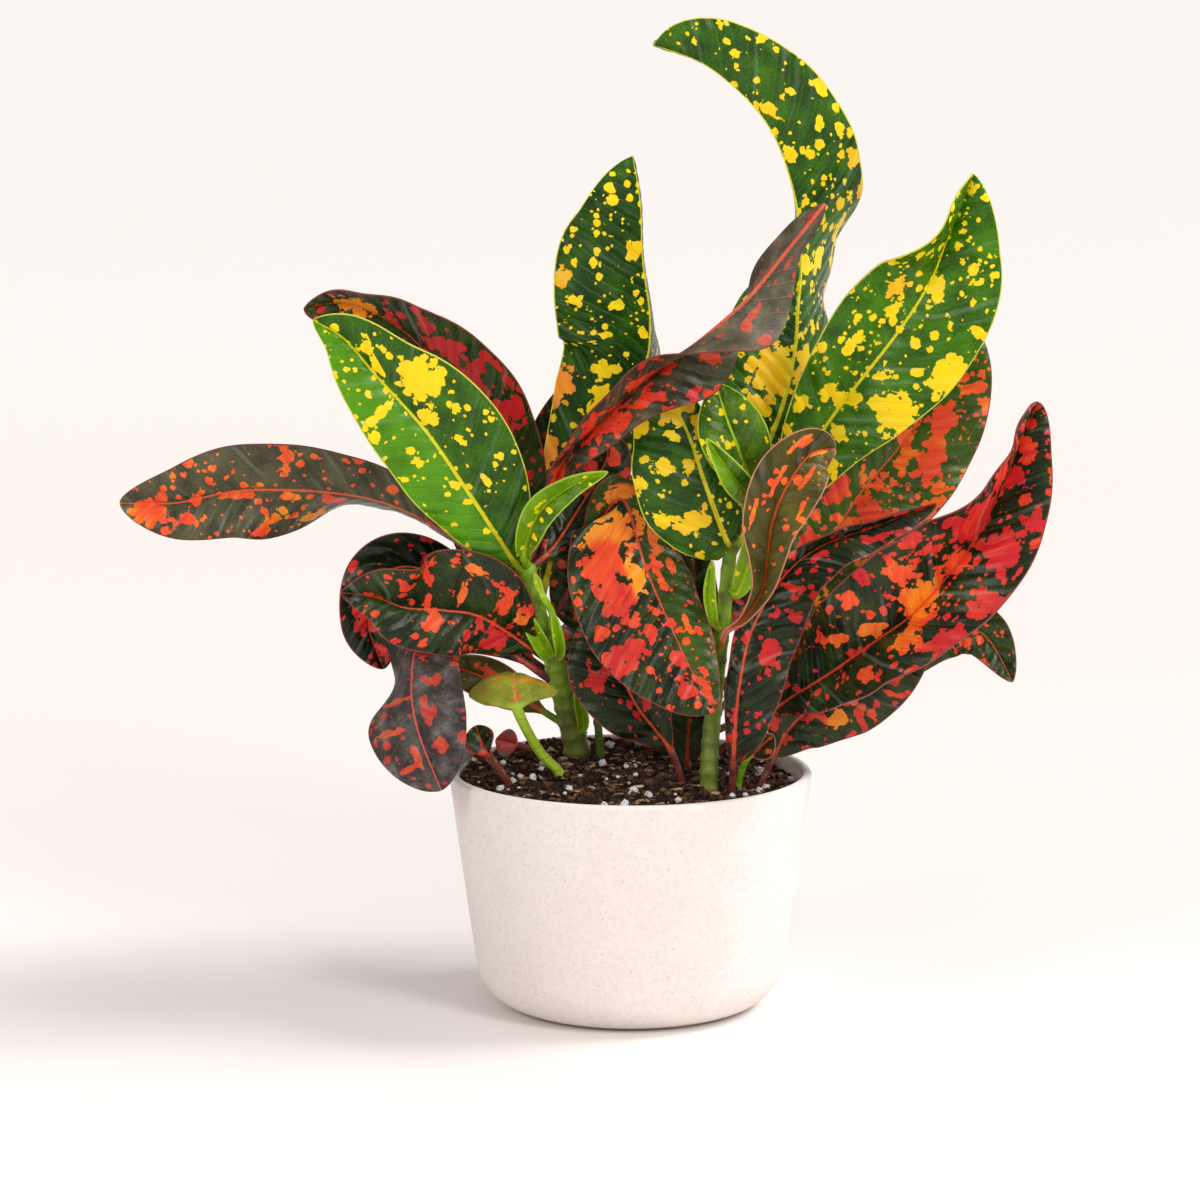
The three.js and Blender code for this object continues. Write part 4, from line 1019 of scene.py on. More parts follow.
marks = {
    "crown": Marks(0.1, 0.65, 0.28, [
        (0.9, 0.74, 3, 4), (0.85, 0.68, 2.6, 2.6), (0.9, 0.63, 3, 4.5, 0.4), (0.15, 0.76, 2.5, 5),
        (0.5, 0.67, 2.6, 2.6), (0.12, 0.67, 3.4, 4.4), (0.78, 0.52, 3, 6), (0.4, 0.48, 4, 5),
        (0.1, 0.47, 4.5, 5), (0.97, 0.42, 3, 10, 1.0), (0.97, 0.58, 3, 4, 0.7), (0.95, 0.85, 3, 2.5),
        (0.97, 0.3, 3, 6, 0.8), (-0.28, 0.27, 11, 12, 0.35), (-0.85, 0.31, 6, 6, 0.4),
        (-0.4, 0.19, 6, 6, 0.3), (-0.45, 0.41, 4.5, 2.4, 0.9), (-0.3, 0.355, 2.4, 2.6, 0.8),
        (0.2, 0.3, 4, 7), (-0.1, 0.12, 6, 7, 0.3)]),
    "upper_left": Marks(0.0, 0.5, 0.16, [
        (-0.1, 0.78, 4, 4.5, 0.3), (-0.92, 0.74, 4, 4, 0.6), (-0.8, 0.69, 4, 2.2),
        (-0.35, 0.66, 3.4, 2.4), (-0.55, 0.76, 2.4, 2.4), (-0.5, 0.58, 3.2, 1.9), (-0.48, 0.45, 5, 4.6),
        (-0.3, 0.38, 6.6, 6), (-0.32, 0.47, 3.2, 2.4), (-0.95, 0.35, 6, 10, 1.0),
        (-0.95, 0.2, 6, 8, 0.9), (-0.5, 0.13, 7, 3.5), (-0.1, 0.28, 3, 6), (-0.1, 0.58, 2.4, 2.6)]),
    "upper_right": Marks(0.0, 0.7, 0.42, [
        (0.85, 0.56, 7, 9), (0.75, 0.42, 8, 9), (0.5, 0.2, 7, 4.5), (0.3, 0.11, 4, 7),
        (0.3, 0.29, 4.4, 3.2), (0.14, 0.38, 3.6, 3.6), (0.42, 0.41, 3.2, 3), (0.3, 0.58, 3, 3),
        (0.42, 0.62, 2.4, 2.4), (0.12, 0.72, 4, 5), (0.9, 0.68, 4, 2.2), (-0.3, 0.62, 2.6, 5),
        (-0.5, 0.48, 3, 4.5), (-0.4, 0.36, 2.8, 4.5), (-0.8, 0.3, 3, 5), (-0.5, 0.68, 4, 5, 0.5),
        (-0.14, 0.2, 4, 7), (-0.12, 0.36, 3, 6), (0.85, 0.1, 5, 3)]),
    # left_front: its lighter left half and darker right half are painted light and shade.
    "left_front": Marks(0.0, (0.3, 0.45), (0.75, 0.32), [
        (0.55, 0.66, 9.5, 11), (0.16, 0.56, 3.4, 5), (0.32, 0.83, 3, 3.6), (0.18, 0.77, 2.2, 5),
        (-0.5, 0.66, 8, 2.2), (-0.88, 0.62, 3, 3), (-0.5, 0.47, 2.6, 1.8), (-0.16, 0.33, 2, 3),
        (0.35, 0.3, 1.8, 3.4), (0.2, 0.93, 2.4, 2), (0.35, 0.45, 2.2, 2.6), (0.7, 0.35, 2, 2)]),
    "centre": Marks(0.1, 0.55, 0.25, [
        (-0.35, 0.2, 8, 5.4, 0.3), (-0.75, 0.25, 4, 3.6), (-0.5, 0.5, 4.4, 4.4),
        (-0.12, 0.46, 4, 3.2, 0.2), (-0.9, 0.45, 4, 3), (-0.12, 0.8, 6, 12, 0.2), (-0.5, 0.86, 8, 6),
        (-0.8, 0.74, 6, 5), (0.4, 0.8, 6, 10, 0.3), (0.6, 0.6, 4, 9, 0.6)]),
    "low_left": Marks(0.5, 0.5, 0.4, [(0.3, 0.5, 3, 7)], look="bronze"),
    "spiral": Marks(0.6, (0.2, 0.4), (0.35, 0.5), [
        (0.4, 0.78, 1.1, 7, 0.5), (-0.35, 0.72, 1.1, 8, 0.6), (-0.6, 0.85, 1.2, 5, 0.6),
        (0.7, 0.66, 1.1, 5, 0.6), (0.1, 0.9, 1.2, 5, 0.8), (-0.7, 0.6, 1.0, 5, 0.6)], look="bronze"),
    "right_back": Marks(0.6, 0.72, 0.55, [
        (0.3, 0.78, 6, 8, 0.5), (0.5, 0.68, 6, 7, 0.4), (0.15, 0.66, 4, 6, 0.6), (0.3, 0.5, 5, 7, 0.3),
        (-0.4, 0.5, 5, 7, 0.25), (-0.35, 0.36, 5, 5, 0.3), (0.1, 0.1, 6, 11, 0.95),
        (0.1, 0.27, 8, 8, 0.9), (0.9, 0.6, 4, 7, 0.6), (-0.8, 0.25, 5, 5, 0.8), (-0.5, 0.7, 6, 7, 0.2),
        (0.8, 0.4, 5, 6, 0.5)], look="red"),
    "streaked_low": Marks(0.5, 0.4, 0.2, look="bronze"),
    "twisted": Marks(0.25, (0.9, 0.3), 0.32, [
        (0.0, 0.12, 7, 10, 0.5), (0.3, 0.3, 5, 9, 0.4), (-0.3, 0.42, 5, 7, 0.4),
        (0.6, 0.75, 1.6, 6, 0.3), (-0.5, 0.85, 1.4, 5, 0.2), (0.35, 0.58, 5, 4, 0.3),
        (0.6, 0.64, 2, 6, 0.2), (0.3, 0.8, 1.2, 7, 0.2), (-0.3, 0.7, 1.4, 6, 0.3), (0.8, 0.5, 2, 5, 0.1)],
        look="dusky"),
    "behind_left": Marks(0.3, 0.75, 0.35, [
        (-0.45, 0.35, 7, 10, 0.4), (0.4, 0.2, 5, 6, 0.2), (-0.3, 0.8, 5, 8, 0.1)]),
    "left_red": Marks(0.0, 0.6, 0.3, [
        (0.2, 0.86, 8, 10, 1.0), (0.6, 0.68, 4, 4), (0.5, 0.6, 7, 5), (0.35, 0.52, 7, 7),
        (0.5, 0.42, 8, 9), (0.85, 0.42, 3.4, 3.4), (0.25, 0.38, 6, 6), (0.55, 0.26, 3.4, 6),
        (0.6, 0.15, 4.6, 4.6)]),
    "far_left": Marks(0.6, (0.35, 0.55), 0.4, [
        (-0.3, 0.93, 6, 8, 0.6), (-0.4, 0.62, 2.6, 2.6, 0.9), (0.0, 0.82, 3, 3, 0.5),
        (0.2, 0.9, 3, 3, 0.4), (-0.5, 0.85, 2.8, 2.6, 0.4), (-0.75, 0.55, 2.4, 7, 1.0),
        (-0.25, 0.5, 3, 6, 0.45), (-0.1, 0.72, 1.8, 9, 0.6), (0.8, 0.6, 1.8, 1.8), (0.4, 0.78, 2, 1.8),
        (-0.15, 0.6, 1.6, 6, 0.7)], look="dusky"),
    "curled_left": Marks(0.3, 0.45, 0.2, [
        (0.45, 0.28, 9, 2.4, 0.3), (0.72, 0.42, 2.6, 4, 0.7), (0.3, 0.45, 6, 1.8, 0.7),
        (0.5, 0.16, 2.6, 5, 0.8), (-0.3, 0.2, 6, 5, 0.1), (-0.5, 0.38, 3.2, 3, 0.1),
        (-0.15, 0.33, 3, 2.4, 0.1), (-0.25, 0.56, 5, 3.4, 0.4), (0.15, 0.6, 5, 1.8, 0.5),
        (-0.6, 0.25, 3, 3, 0.1)]),
    "round_left": Marks(0.05, 0.3, 0.08, [
        (0.3, 0.45, 5, 2.4), (0.5, 0.3, 2, 2), (0.0, 0.78, 8, 8, 0.15)]),
    "hanging_left": Marks(0.2, 0.35, 0.1, [
        (-0.5, 0.64, 2, 5, 0.3), (-0.25, 0.74, 2, 7, 0.3), (-0.2, 0.52, 3, 3, 0.3),
        (-0.45, 0.86, 3, 5, 0.4), (0.45, 0.68, 8, 1.4, 0.5), (0.55, 0.78, 7, 1.4, 0.5),
        (0.25, 0.88, 1.6, 6, 0.5), (0.6, 0.9, 4, 1.3, 0.5)], turned=True),
    "brown_low": Marks(0.1, 0.3, 0.2),
    "rim_left": Marks(0.0, 0.2, 0.6, turned=True),
    "pink_low": Marks(0.0, 0.5, 0.5, [(0, 0.5, 5, 7, 0.0)], turned=True),
    "under_front": Marks(0.1, 0.5, 0.12, [(0.3, 0.4, 3, 7), (0.6, 0.7, 3, 5), (-0.5, 0.6, 4, 5)]),
    "inner_low": Marks(0.2, 0.3, 0.15, [(-0.4, 0.6, 3, 5), (0.4, 0.5, 3, 5, 0.5)]),
    "inner_right": Marks(0.8, 0.25, 0.3, [(-0.4, 0.8, 2.4, 7, 0.9), (-0.5, 0.6, 2, 6, 0.7)]),
    "inner_left": Marks(0.6, 0.35, 0.3, look="red"),
    "front": Marks(0.4, 0.5, (0.45, 0.18), [
        (0.4, 0.35, 12, 9, 0.75), (0.5, 0.44, 11, 7, 0.5), (0.45, 0.54, 9, 8, 0.25),
        (0.6, 0.72, 7, 6.4, 0.12), (0.8, 0.62, 3.4, 4, 0.3), (0.9, 0.75, 4, 4, 0.1),
        (0.25, 0.68, 3.4, 5, 0.2), (0.3, 0.9, 4.4, 4, 0.2), (0.15, 0.5, 3, 8, 0.9),
        (0.12, 0.8, 3, 5, 0.15), (0.5, 0.25, 9, 6, 0.9), (-0.4, 0.4, 2, 7, 0.7),
        (-0.2, 0.33, 2.4, 5, 0.8), (-0.6, 0.5, 1.8, 6, 0.6), (-0.25, 0.55, 2, 4, 0.6),
        (-0.2, 0.22, 3, 5, 0.8), (-0.4, 0.7, 1.8, 4, 0.6)]),
    "red_loop": Marks(0.1, 0.35, 0.15, [(-0.4, 0.7, 3, 5, 0.1), (0.3, 0.85, 2.6, 4, 0.3)]),
    "arched_red": Marks(0.05, 0.45, 0.12, [
        (0.5, 0.3, 4.6, 8, 0.05), (0.75, 0.44, 3, 3, 0.05), (0.3, 0.62, 2, 7, 0.05),
        (0.6, 0.8, 2, 7, 0.05)]),
    "right_red": Marks(0.25, (0.45, 0.75), 0.18, [
        (-0.1, 0.5, 9, 9, 0.75), (-0.05, 0.61, 8, 6, 0.4), (-0.45, 0.71, 12, 10, 0.1),
        (-0.6, 0.52, 6.6, 5, 0.5), (0.4, 0.43, 6.4, 5, 0.6), (-0.2, 0.37, 4, 6, 0.7),
        (-0.4, 0.29, 3.4, 7, 0.6), (-0.75, 0.38, 4, 4, 0.4), (0.5, 0.68, 8, 6.4, 0.05),
        (0.85, 0.6, 8, 3.4, 0.1), (0.9, 0.5, 6, 6, 0.0), (0.2, 0.82, 4.4, 5, 0.1),
        (-0.9, 0.45, 5, 5, 0.0), (-0.9, 0.6, 5, 5, 0.1), (0.6, 0.32, 4.6, 4, 0.5),
        (0.1, 0.95, 3, 3, 0.1), (-0.2, 0.85, 4, 5, 0.0), (0.8, 0.75, 5, 4, 0.05)]),
    "right_low": Marks(0.2, 0.45, 0.22, [
        (0.5, 0.4, 3.6, 5, 0.8), (0.3, 0.52, 2.6, 2.6, 0.4), (0.2, 0.75, 5, 4, 0.1),
        (-0.2, 0.88, 6, 3, 0.2), (0.8, 0.5, 4, 2, 0.1), (-0.4, 0.5, 4, 6, 0.3)]),
    "right_hidden": Marks(0.4, 0.55, 0.3, [(0.2, 0.3, 5, 7, 0.6)]),
    "umbrella": Marks(0.4, 0.35, 0.6, [(0.5, 0.5, 9, 1.4, 0.6), (-0.4, 0.6, 7, 1.4, 0.8)], turned=True),
    "young_left": Marks(0.0, 0.15, (0.65, 0.4)),
    "young_top": Marks(0.0, 0.35, 0.35, [(-0.75, 0.45, 3.4, 3.8), (-0.9, 0.25, 2.4, 2.4)]),
    "young_folded": Marks(0.0, 0.1, (0.65, 0.35)),
    "young_tip": Marks(0.0, 0.1, 0.35),
    "back_left_top": Marks(0.1, 0.6, 0.4, [(0.4, 0.5, 8, 10), (-0.5, 0.3, 5, 4)]),
    "back_centre_left": Marks(0.0, 0.7, 0.3, [(-0.4, 0.4, 7, 9), (0.5, 0.65, 6, 6)]),
    "back_right_top": Marks(0.1, 0.6, 0.5, [(0.4, 0.4, 9, 12), (-0.4, 0.7, 6, 8)]),
    "back_left": Marks(0.3, 0.6, 0.3, [(0.3, 0.5, 8, 9), (-0.5, 0.35, 6, 8)]),
    "back_left_low": Marks(0.1, 0.5, 0.2, [(0.4, 0.6, 6, 7)]),
    "back_low": Marks(0.5, 0.55, 0.3, [(-0.3, 0.5, 6, 8)]),
    "back_centre": Marks(0.4, 0.65, 0.3, [(0.3, 0.4, 8, 10), (-0.4, 0.6, 7, 9)]),
    "back_right": Marks(0.2, 0.6, 0.2, [(-0.3, 0.4, 9, 9), (0.5, 0.6, 7, 9)]),
    "back_right_low": Marks(0.6, 0.45, 0.4, [(0.3, 0.5, 6, 8)]),
}
sprig_marks = Marks(density=0.1, shade=0.95)
print("leaves with marks of their own:", len(marks))

# %% [markdown]
# `Blade` works a plan out into a net of points. Its columns run from the left margin over the midrib
# to the right one, closer together at the midrib. Its rows run from the foot of the stalk to the
# tip, closer together at the tip so that it comes out round. Each half blade leaves the midrib at its
# lean and bends evenly, so that it is an arc across. A plain stalk and a blade blend into each other.

# %% Where the points of a leaf lie
CURL = 24
ROOT_DEPTH = 11
LEAF_COLUMNS = 31
ROW_SPACING = 1.4
FEWEST_ROWS = 44
MOST_ROWS = 112
TIP_CROWDING = 1.35
RIB_CROWDING = 1.4
TIP_HALF_WIDTH = 0.3
STALK_FADE = 1 / 6


def smooth(values, start, end):
    """0 before start and 1 after end, with a soft turn at both."""
    share = np.clip((values - start) / (end - start), 0, 1)
    return share * share * (3 - 2 * share)


def mix(one, other, share):
    """One where share is 0 and the other where it is 1."""
    return one + (other - one) * share


def root_of(plan):
    """The places before the plan's own: inside the stem, or below the soil and just above it."""
    leans = plan.rows[0][3:]
    if plan.grows_from != "soil":
        start = along(STEMS[plan.grows_from]["route"], np.array([plan.at]))[0]
        return [(*start, *leans)]
    x, y = plan.at
    ground = soil_height(x * MM, y * MM) / MM
    return [(x, y, ground - ROOT_DEPTH, *leans), (x, y, ground + 1, *leans)]


class Blade:
    """A plan worked out row by row. `u` runs along the blade from 0 to 1, `v` across from -1 to 1."""

    def __init__(self, plan, seed):
        places = [*root_of(plan), *plan.rows]
        length = travelled(along(places, np.linspace(0, 1, 200))[:, :3])[-1]
        self.rows = int(np.clip(length / ROW_SPACING, FEWEST_ROWS, MOST_ROWS))
        t = 1 - (1 - np.linspace(0, 1, self.rows)) ** TIP_CROWDING
        row = along(places, t)
        stalk = plan.stalk + (ROOT_DEPTH if plan.grows_from == "soil" else 0)
        self.plan = plan
        self.centre = row[:, :3]
        self.down = travelled(self.centre) - stalk
        self.u = self.down / self.down[-1]
        self.fade = smooth(self.u, 0, STALK_FADE)
        spread = np.linspace(-1, 1, LEAF_COLUMNS)
        self.v = np.sign(spread) * np.abs(spread) ** RIB_CROWDING
        tangent = tangents(places, t)
        self.forward = unit(plan.facing - (tangent @ plan.facing)[:, None] * tangent)
        self.side = np.cross(tangent, self.forward)
        leans = mix(90.0, row[:, 3:], smooth(self.u, -0.05, 0.12)[:, None])
        self.leans = leans[:, 0], leans[:, 1]
        self.draw = np.random.default_rng(seed)

    def width(self, u, greatest):
        """Half the width at shares of the way along: a bowed outline, and never less than a stalk."""
        bend = math.log(0.5) / math.log(self.plan.widest)
        outline = np.sin(math.pi * np.clip(u, 0, 1) ** bend) ** self.plan.full
        narrowest = mix(self.plan.stalk_half, TIP_HALF_WIDTH, np.clip(2 * u, 0, 1))
        return np.maximum(np.where(u > 0, outline, 0) * greatest, narrowest)

    def half(self, column):
        """Offsets from the midrib and normals of one column of points."""
        v = self.v[column]
        if v < 0:
            greatest, lean, side = self.plan.left, self.leans[0], -self.side
        else:
            greatest, lean, side = self.plan.right, self.leans[1], self.side
        width = self.width(self.u, greatest)
        start = np.radians(lean - CURL / 2)
        bend = math.radians(CURL)
        angle = start + bend * abs(v)
        out = (np.cos(start) - np.cos(angle)) / bend * width
        front = (np.sin(angle) - np.sin(start)) / bend * width
        offset = front[:, None] * self.forward + out[:, None] * side
        normal = np.sin(angle)[:, None] * self.forward - np.cos(angle)[:, None] * side
        return offset, normal, width * v

    def net(self):
        """Points, normals, and the distance of every point from the midrib."""
        columns = [self.half(column) for column in range(LEAF_COLUMNS)]
        points = np.stack([self.centre + offset for offset, _, _ in columns], axis=1)
        normals = np.stack([normal for _, normal, _ in columns], axis=1)
        across = np.stack([distance for _, _, distance in columns], axis=1)
        middle = LEAF_COLUMNS // 2
        normals[:, middle] = unit(normals[:, middle - 1] + normals[:, middle + 1])
        return points, normals, across


print("shares across a blade:", np.round(Blade(leaves["crown"], 0).v, 2))

# %% [markdown]
# Real blades aren't flat: the midrib lies in a groove above and stands out below, the skin swells a
# little between the side veins, and the margins wave. `leaf` lays the net, adds those, writes down
# what the finishes need, and lets a Solidify modifier give the blade its thickness. A vertex group
# makes it thick at the stalk and rib and thin in the blade. The modifier also gives the under side
# the second material.

# %% Grow a leaf
RIPPLE = 0.8
RIPPLE_LENGTHS = (22, 32)
LARGEST_PHASE = 6.3
FULL_RELIEF_WIDTH = 12
QUILTING = 0.32
GROOVE = 0.35
RIB_SINKS = 0.8
RIB_WIDTH = 1.2
RIB_HALF = 0.85
BLADE_HALF = 0.28
STALK_FLATNESS = 0.85
STALK_ROUNDNESS = 0.97
VEIN_GAP = 6.5
VEIN_SLOPE = 0.8


def relief(blade, across):
    """How far the skin is pushed along its normal, in millimetres."""
    v, down = blade.v[None], blade.down[:, None]
    broad = np.minimum(np.abs(across).max(axis=1), FULL_RELIEF_WIDTH)[:, None] / FULL_RELIEF_WIDTH
    phase = blade.draw.uniform(0, LARGEST_PHASE, 2)[(v > 0).astype(int)]
    wave = np.sin(2 * math.pi * down / blade.draw.uniform(*RIPPLE_LENGTHS) + phase)
    ripple = RIPPLE * wave * smooth(np.abs(v), 0.45, 1)
    vein = np.abs(np.sin(math.pi * (down - VEIN_SLOPE * np.abs(across)) / VEIN_GAP))
    swell = QUILTING * vein * smooth(np.abs(v), 0.03, 0.2) * smooth(np.abs(v), 1, 0.75)
    groove = GROOVE * on_rib(across)
    return ((ripple + swell) * broad - groove) * blade.fade[:, None]


def on_rib(across):
    """1 on the midrib, and less and less beside it."""
    return np.exp(-((across / RIB_WIDTH) ** 2))


def thickness(blade, across):
    """Half the leaf's thickness at every point: round in the stalk, thin in the blade."""
    roundness = np.sqrt(1 - (STALK_ROUNDNESS * blade.v[None]) ** 2)
    stalk = blade.plan.stalk_half * STALK_FLATNESS * roundness
    rib = mix(RIB_HALF, BLADE_HALF, np.clip(blade.u, 0, 1))[:, None]
    thin = BLADE_HALF + (rib - BLADE_HALF) * on_rib(across)
    return mix(stalk, thin, blade.fade[:, None])


def patch_fields(blade, across, marked):
    """A field above 0 inside a patch and 1 in its middle, and how warm each point's marks are."""
    field = np.full(across.shape, -1.0)
    heat = np.full(across.shape, float(marked.warmth))
    for v, u, half_width, half_length, *own_warmth in marked.patches:
        greatest = blade.plan.left if v < 0 else blade.plan.right
        sideways = across - v * blade.width(np.array([u]), greatest)[0]
        onward = blade.down[:, None] - u * blade.down[-1]
        reach = np.hypot(sideways / half_width, onward / half_length)
        field = np.maximum(field, 1 - reach)
        if own_warmth:
            heat = mix(heat, own_warmth[0], smooth(reach, 1.6, 1.0))
    return field, heat


def stacked(*fields):
    """One vector for every point of the net, from three numbers or fields of numbers."""
    return np.stack(np.broadcast_arrays(*fields), -1).reshape(-1, 3)


def leaf_numbers(piece, blade, across, marked, seed):
    """Writes down what the finishes read: millimetres, shares, patches, and the leaf's own marks."""
    v, u, down = blade.v[None], blade.u[:, None], blade.down[:, None]
    widest = np.where(v < 0, -across.min(axis=1)[:, None], across.max(axis=1)[:, None])
    field, heat = patch_fields(blade, across, marked)
    density = mix(*marked.density, smooth(u, 0.35, 0.6))
    # Where the two shade numbers differ, the halves carry painted light and shade, as on left_front.
    shade = mix(*marked.shade, smooth(v, -0.15, 0.15))
    attribute(piece, "blade", stacked(across, down, seed))
    attribute(piece, "share", stacked(v, u, widest - np.abs(across)))
    attribute(piece, "patch", field.ravel())
    attribute(piece, "mood", stacked(heat, density, shade))


def leaf(name, plan, seed):
    """Makes one leaf from its plan, and says how many faces it has."""
    blade = Blade(plan, seed)
    marked = marks.get(name, sprig_marks)
    points, normals, across = blade.net()
    half = thickness(blade, across)
    sunk = (half - BLADE_HALF) * RIB_SINKS * blade.fade[:, None]
    points += normals * (relief(blade, across) - sunk)[..., None]
    piece = grid(LEAF_COLUMNS, blade.rows)
    write_points(piece, points * MM)
    leaf_numbers(piece, blade, across, marked, seed)
    finishes = leaf_finishes[marked.look or plan.kind]
    for finish in reversed(finishes) if marked.turned else finishes:
        piece.data.materials.append(finish)
    thicken(piece, half.ravel())
    shade_smooth(crease=70)
    stands_for(piece, "blade_" + name, "leaf_" + name if plan.solid else None)
    return len(piece.data.polygons)


def thicken(piece, half):
    """A Solidify modifier whose vertex group carries the thickness of each point."""
    most, least = half.max(), half.min()
    group = piece.vertex_groups.new(name="thickness")
    for index, share in enumerate((half - least) / (most - least)):
        group.add([index], float(share), "REPLACE")
    solidify = piece.modifiers.new("thickness", "SOLIDIFY")
    solidify.thickness = 2 * most * MM
    solidify.offset = 0
    solidify.vertex_group = group.name
    solidify.thickness_vertex_group = least / most
    solidify.use_quality_normals = True
    solidify.material_offset = 1
    apply_modifiers(piece)


print("a row of leaf points is", LEAF_COLUMNS, "wide, and a rib", 2 * RIB_HALF, "mm thick at its foot")

# %% [markdown]
# The leaf finishes read the numbers that the net carries: millimetres across and along the blade,
# shares of it, and the marks. Spots are Voronoi cells of three sizes. Only a share of the cells shows
# a dot, and each dot has its own width. Patches are the listed fields and a few that noise adds,
# cut off sharply; round cells at their edges make them lobed. Streaks follow the side veins, because
# the place that they read is slanted and drawn out as the veins are.

# %% Spots and patches
FLAT_CELLS = {"voronoi_dimensions": "2D"}


class LeafNumbers:
    """What a leaf finish reads from the blade. The seed moves each leaf to its own part of the noise."""

    def __init__(self, finish):
        self.across, self.down, seed = finish.parts(finish.attribute("blade"))
        self.v, self.u, self.marginal = finish.parts(finish.attribute("share"))
        self.warmth, self.density, self.shade = finish.parts(finish.attribute("mood"))
        self.patch = finish.attribute("patch", "Fac")
        self.slant = self.down - self.across.size() * VEIN_SLOPE
        plain = finish.vector(self.across + seed * 41.0, self.down * 0.92 + seed * 97.0)
        drift = finish.noise(plain, 0.45, 2, "Color")
        pushed = finish.scaled(finish.moved(drift, (-0.5, -0.5, -0.5)), (1.8, 1.8, 0.0))
        self.place = finish.moved(plain, pushed)
        self.veined = finish.vector(self.across * 0.22 + seed * 23.0, self.slant + seed * 59.0)


def cells(finish, numbers, size):
    """The distance from the middle of a cell, and the cell's own random number."""
    sockets = {"Vector": numbers.place, "Scale": 1 / size, "Randomness": 0.85}
    distance = finish.node("TexVoronoi", FLAT_CELLS, sockets, "Distance")
    return distance, finish.parts(finish.again(distance, "Color"))[0]


def dots(distance, lot, share, largest):
    """A dot in a share of the cells, each of its own width. Largest is wavy, so the edges are too."""
    radius = ((lot + share - 1.0) / share).above(0.0) ** 0.7 * largest
    return (radius - distance).rise(0.0, 0.05)


def marked_parts(finish, numbers, spread):
    """1 on every spot and patch of the leaf, 0 between them. Spread is how far noise adds patches."""
    broad = finish.noise(numbers.place, 0.06, 1)
    crowding = numbers.density * (broad.rise(0.3, 0.7) * 1.1 + 0.45)
    large, middling, small = [cells(finish, numbers, size) for size in (9.0, 4.6, 2.4)]
    ragged = finish.noise(numbers.place, 0.75, 2) - 0.5
    spots = dots(*large, crowding * 0.42 + 0.01, ragged * 0.22 + 0.3)
    spots = spots.above(dots(*middling, crowding * 0.55 + 0.01, ragged * 0.26 + 0.36))
    spots = spots.above(dots(*small, crowding * 0.28 + 0.01, ragged * 0.26 + 0.36))
    lobes = 0.3 - middling[0] * 0.9 + ragged * 0.7
    limit = 0.7 - numbers.density * spread
    islands = finish.noise(numbers.place, 0.11, 1) * 0.7 + finish.noise(numbers.veined, 0.16, 1) * 0.3
    patches = (numbers.patch.above((islands - limit) * 5) + lobes).rise(0.0, 0.05)
    return spots.above(patches)


def side_veins(finish, numbers):
    """1 on the thin side veins, which leave the midrib at a slant, and the swelling between them."""
    wander = finish.noise(numbers.place, 0.12, 2) * 0.5
    wave = ((numbers.slant / VEIN_GAP + wander) * (2 * math.pi)).wave()
    return wave.rise(0.9, 1.0), wave


print("a side vein every", VEIN_GAP, "mm, at a slope of", VEIN_SLOPE)

# %% [markdown]
# An upper side is waxy. Its ground wanders between a dark and a light tone, the side veins are a
# shade lighter, then come the marks, the midrib, the thin margin and the stalk. A leaf is so smooth
# that a plain bright sky would grey it all over, so its mirror strength is set low, and the panels
# are bright instead. Here and there the swellings between the veins carry a faint pale coat: a
# painted sheen, partly the leaf's own pale wax.

# %% Upper and under sides
WAX_TINT = (1.0, 0.98, 0.78, 1)
# The pale colour of the painted sheen, partly the leaf's own pale wax.
PAINTED_SHEEN = colour(176, 190, 176)


def warm_tone(finish, numbers, cloud, tones):
    """The colour of the marks: the first tone where they are cool, the last where they are warm."""
    streak = finish.noise(numbers.veined, 0.5, 2)
    heat = numbers.warmth + (cloud - 0.5) * 0.8 + (streak - 0.5) * 0.7
    return finish.mix(heat.rise(0.45, 1.0), finish.mix(heat.rise(0.0, 0.5), tones[0], tones[1]), tones[2])


def upper_side(name, ground, tones, rib, margin, stalk, spread, gloss, rib_width=1.3):
    """The waxy side. Ground is a dark and a light colour, and tones are those of the marks."""
    finish = Finish(name)
    numbers = LeafNumbers(finish)
    cloud = finish.noise(numbers.place, 0.09, 3)
    fine = finish.noise(numbers.place, 1.6, 4)
    veins, swell = side_veins(finish, numbers)
    marked = marked_parts(finish, numbers, spread)
    light = (numbers.shade + (cloud - 0.5) * 0.9 + (fine - 0.5) * 0.7).rise(0.0, 1.0)
    # Painted sheen on the swellings between the veins, partly the leaf's own pale wax.
    painted_sheen = finish.noise(numbers.veined, 0.12, 3).rise(0.5, 0.72) * swell.rise(0.0, -1.0)
    rib_edge = rib_width - numbers.u * 0.9 - numbers.across.size() + (fine - 0.5) * 0.9
    skin = finish.coated(
        ground[0],
        (light, ground[1]),
        (veins * 0.16, ground[1]),
        (marked, warm_tone(finish, numbers, cloud, tones)),
        (painted_sheen * 0.16, PAINTED_SHEEN),
        (rib_edge.rise(-0.15, 0.25) * 0.9, rib),
        (numbers.marginal.rise(0.6, 0.3) * numbers.u.rise(0.0, 0.05), margin),
        (numbers.u.rise(0.05, -0.03), stalk))
    height = fine * 0.5 - veins * 0.5 - swell * 0.6 + marked * 0.15
    rough = gloss + cloud * 0.14 + marked * 0.05
    return finish.done(base_color=skin, roughness=rough, specular_ior_level=0.3, specular_tint=WAX_TINT,
                       normal=finish.bump(height, 0.3 * MM, 0.7))


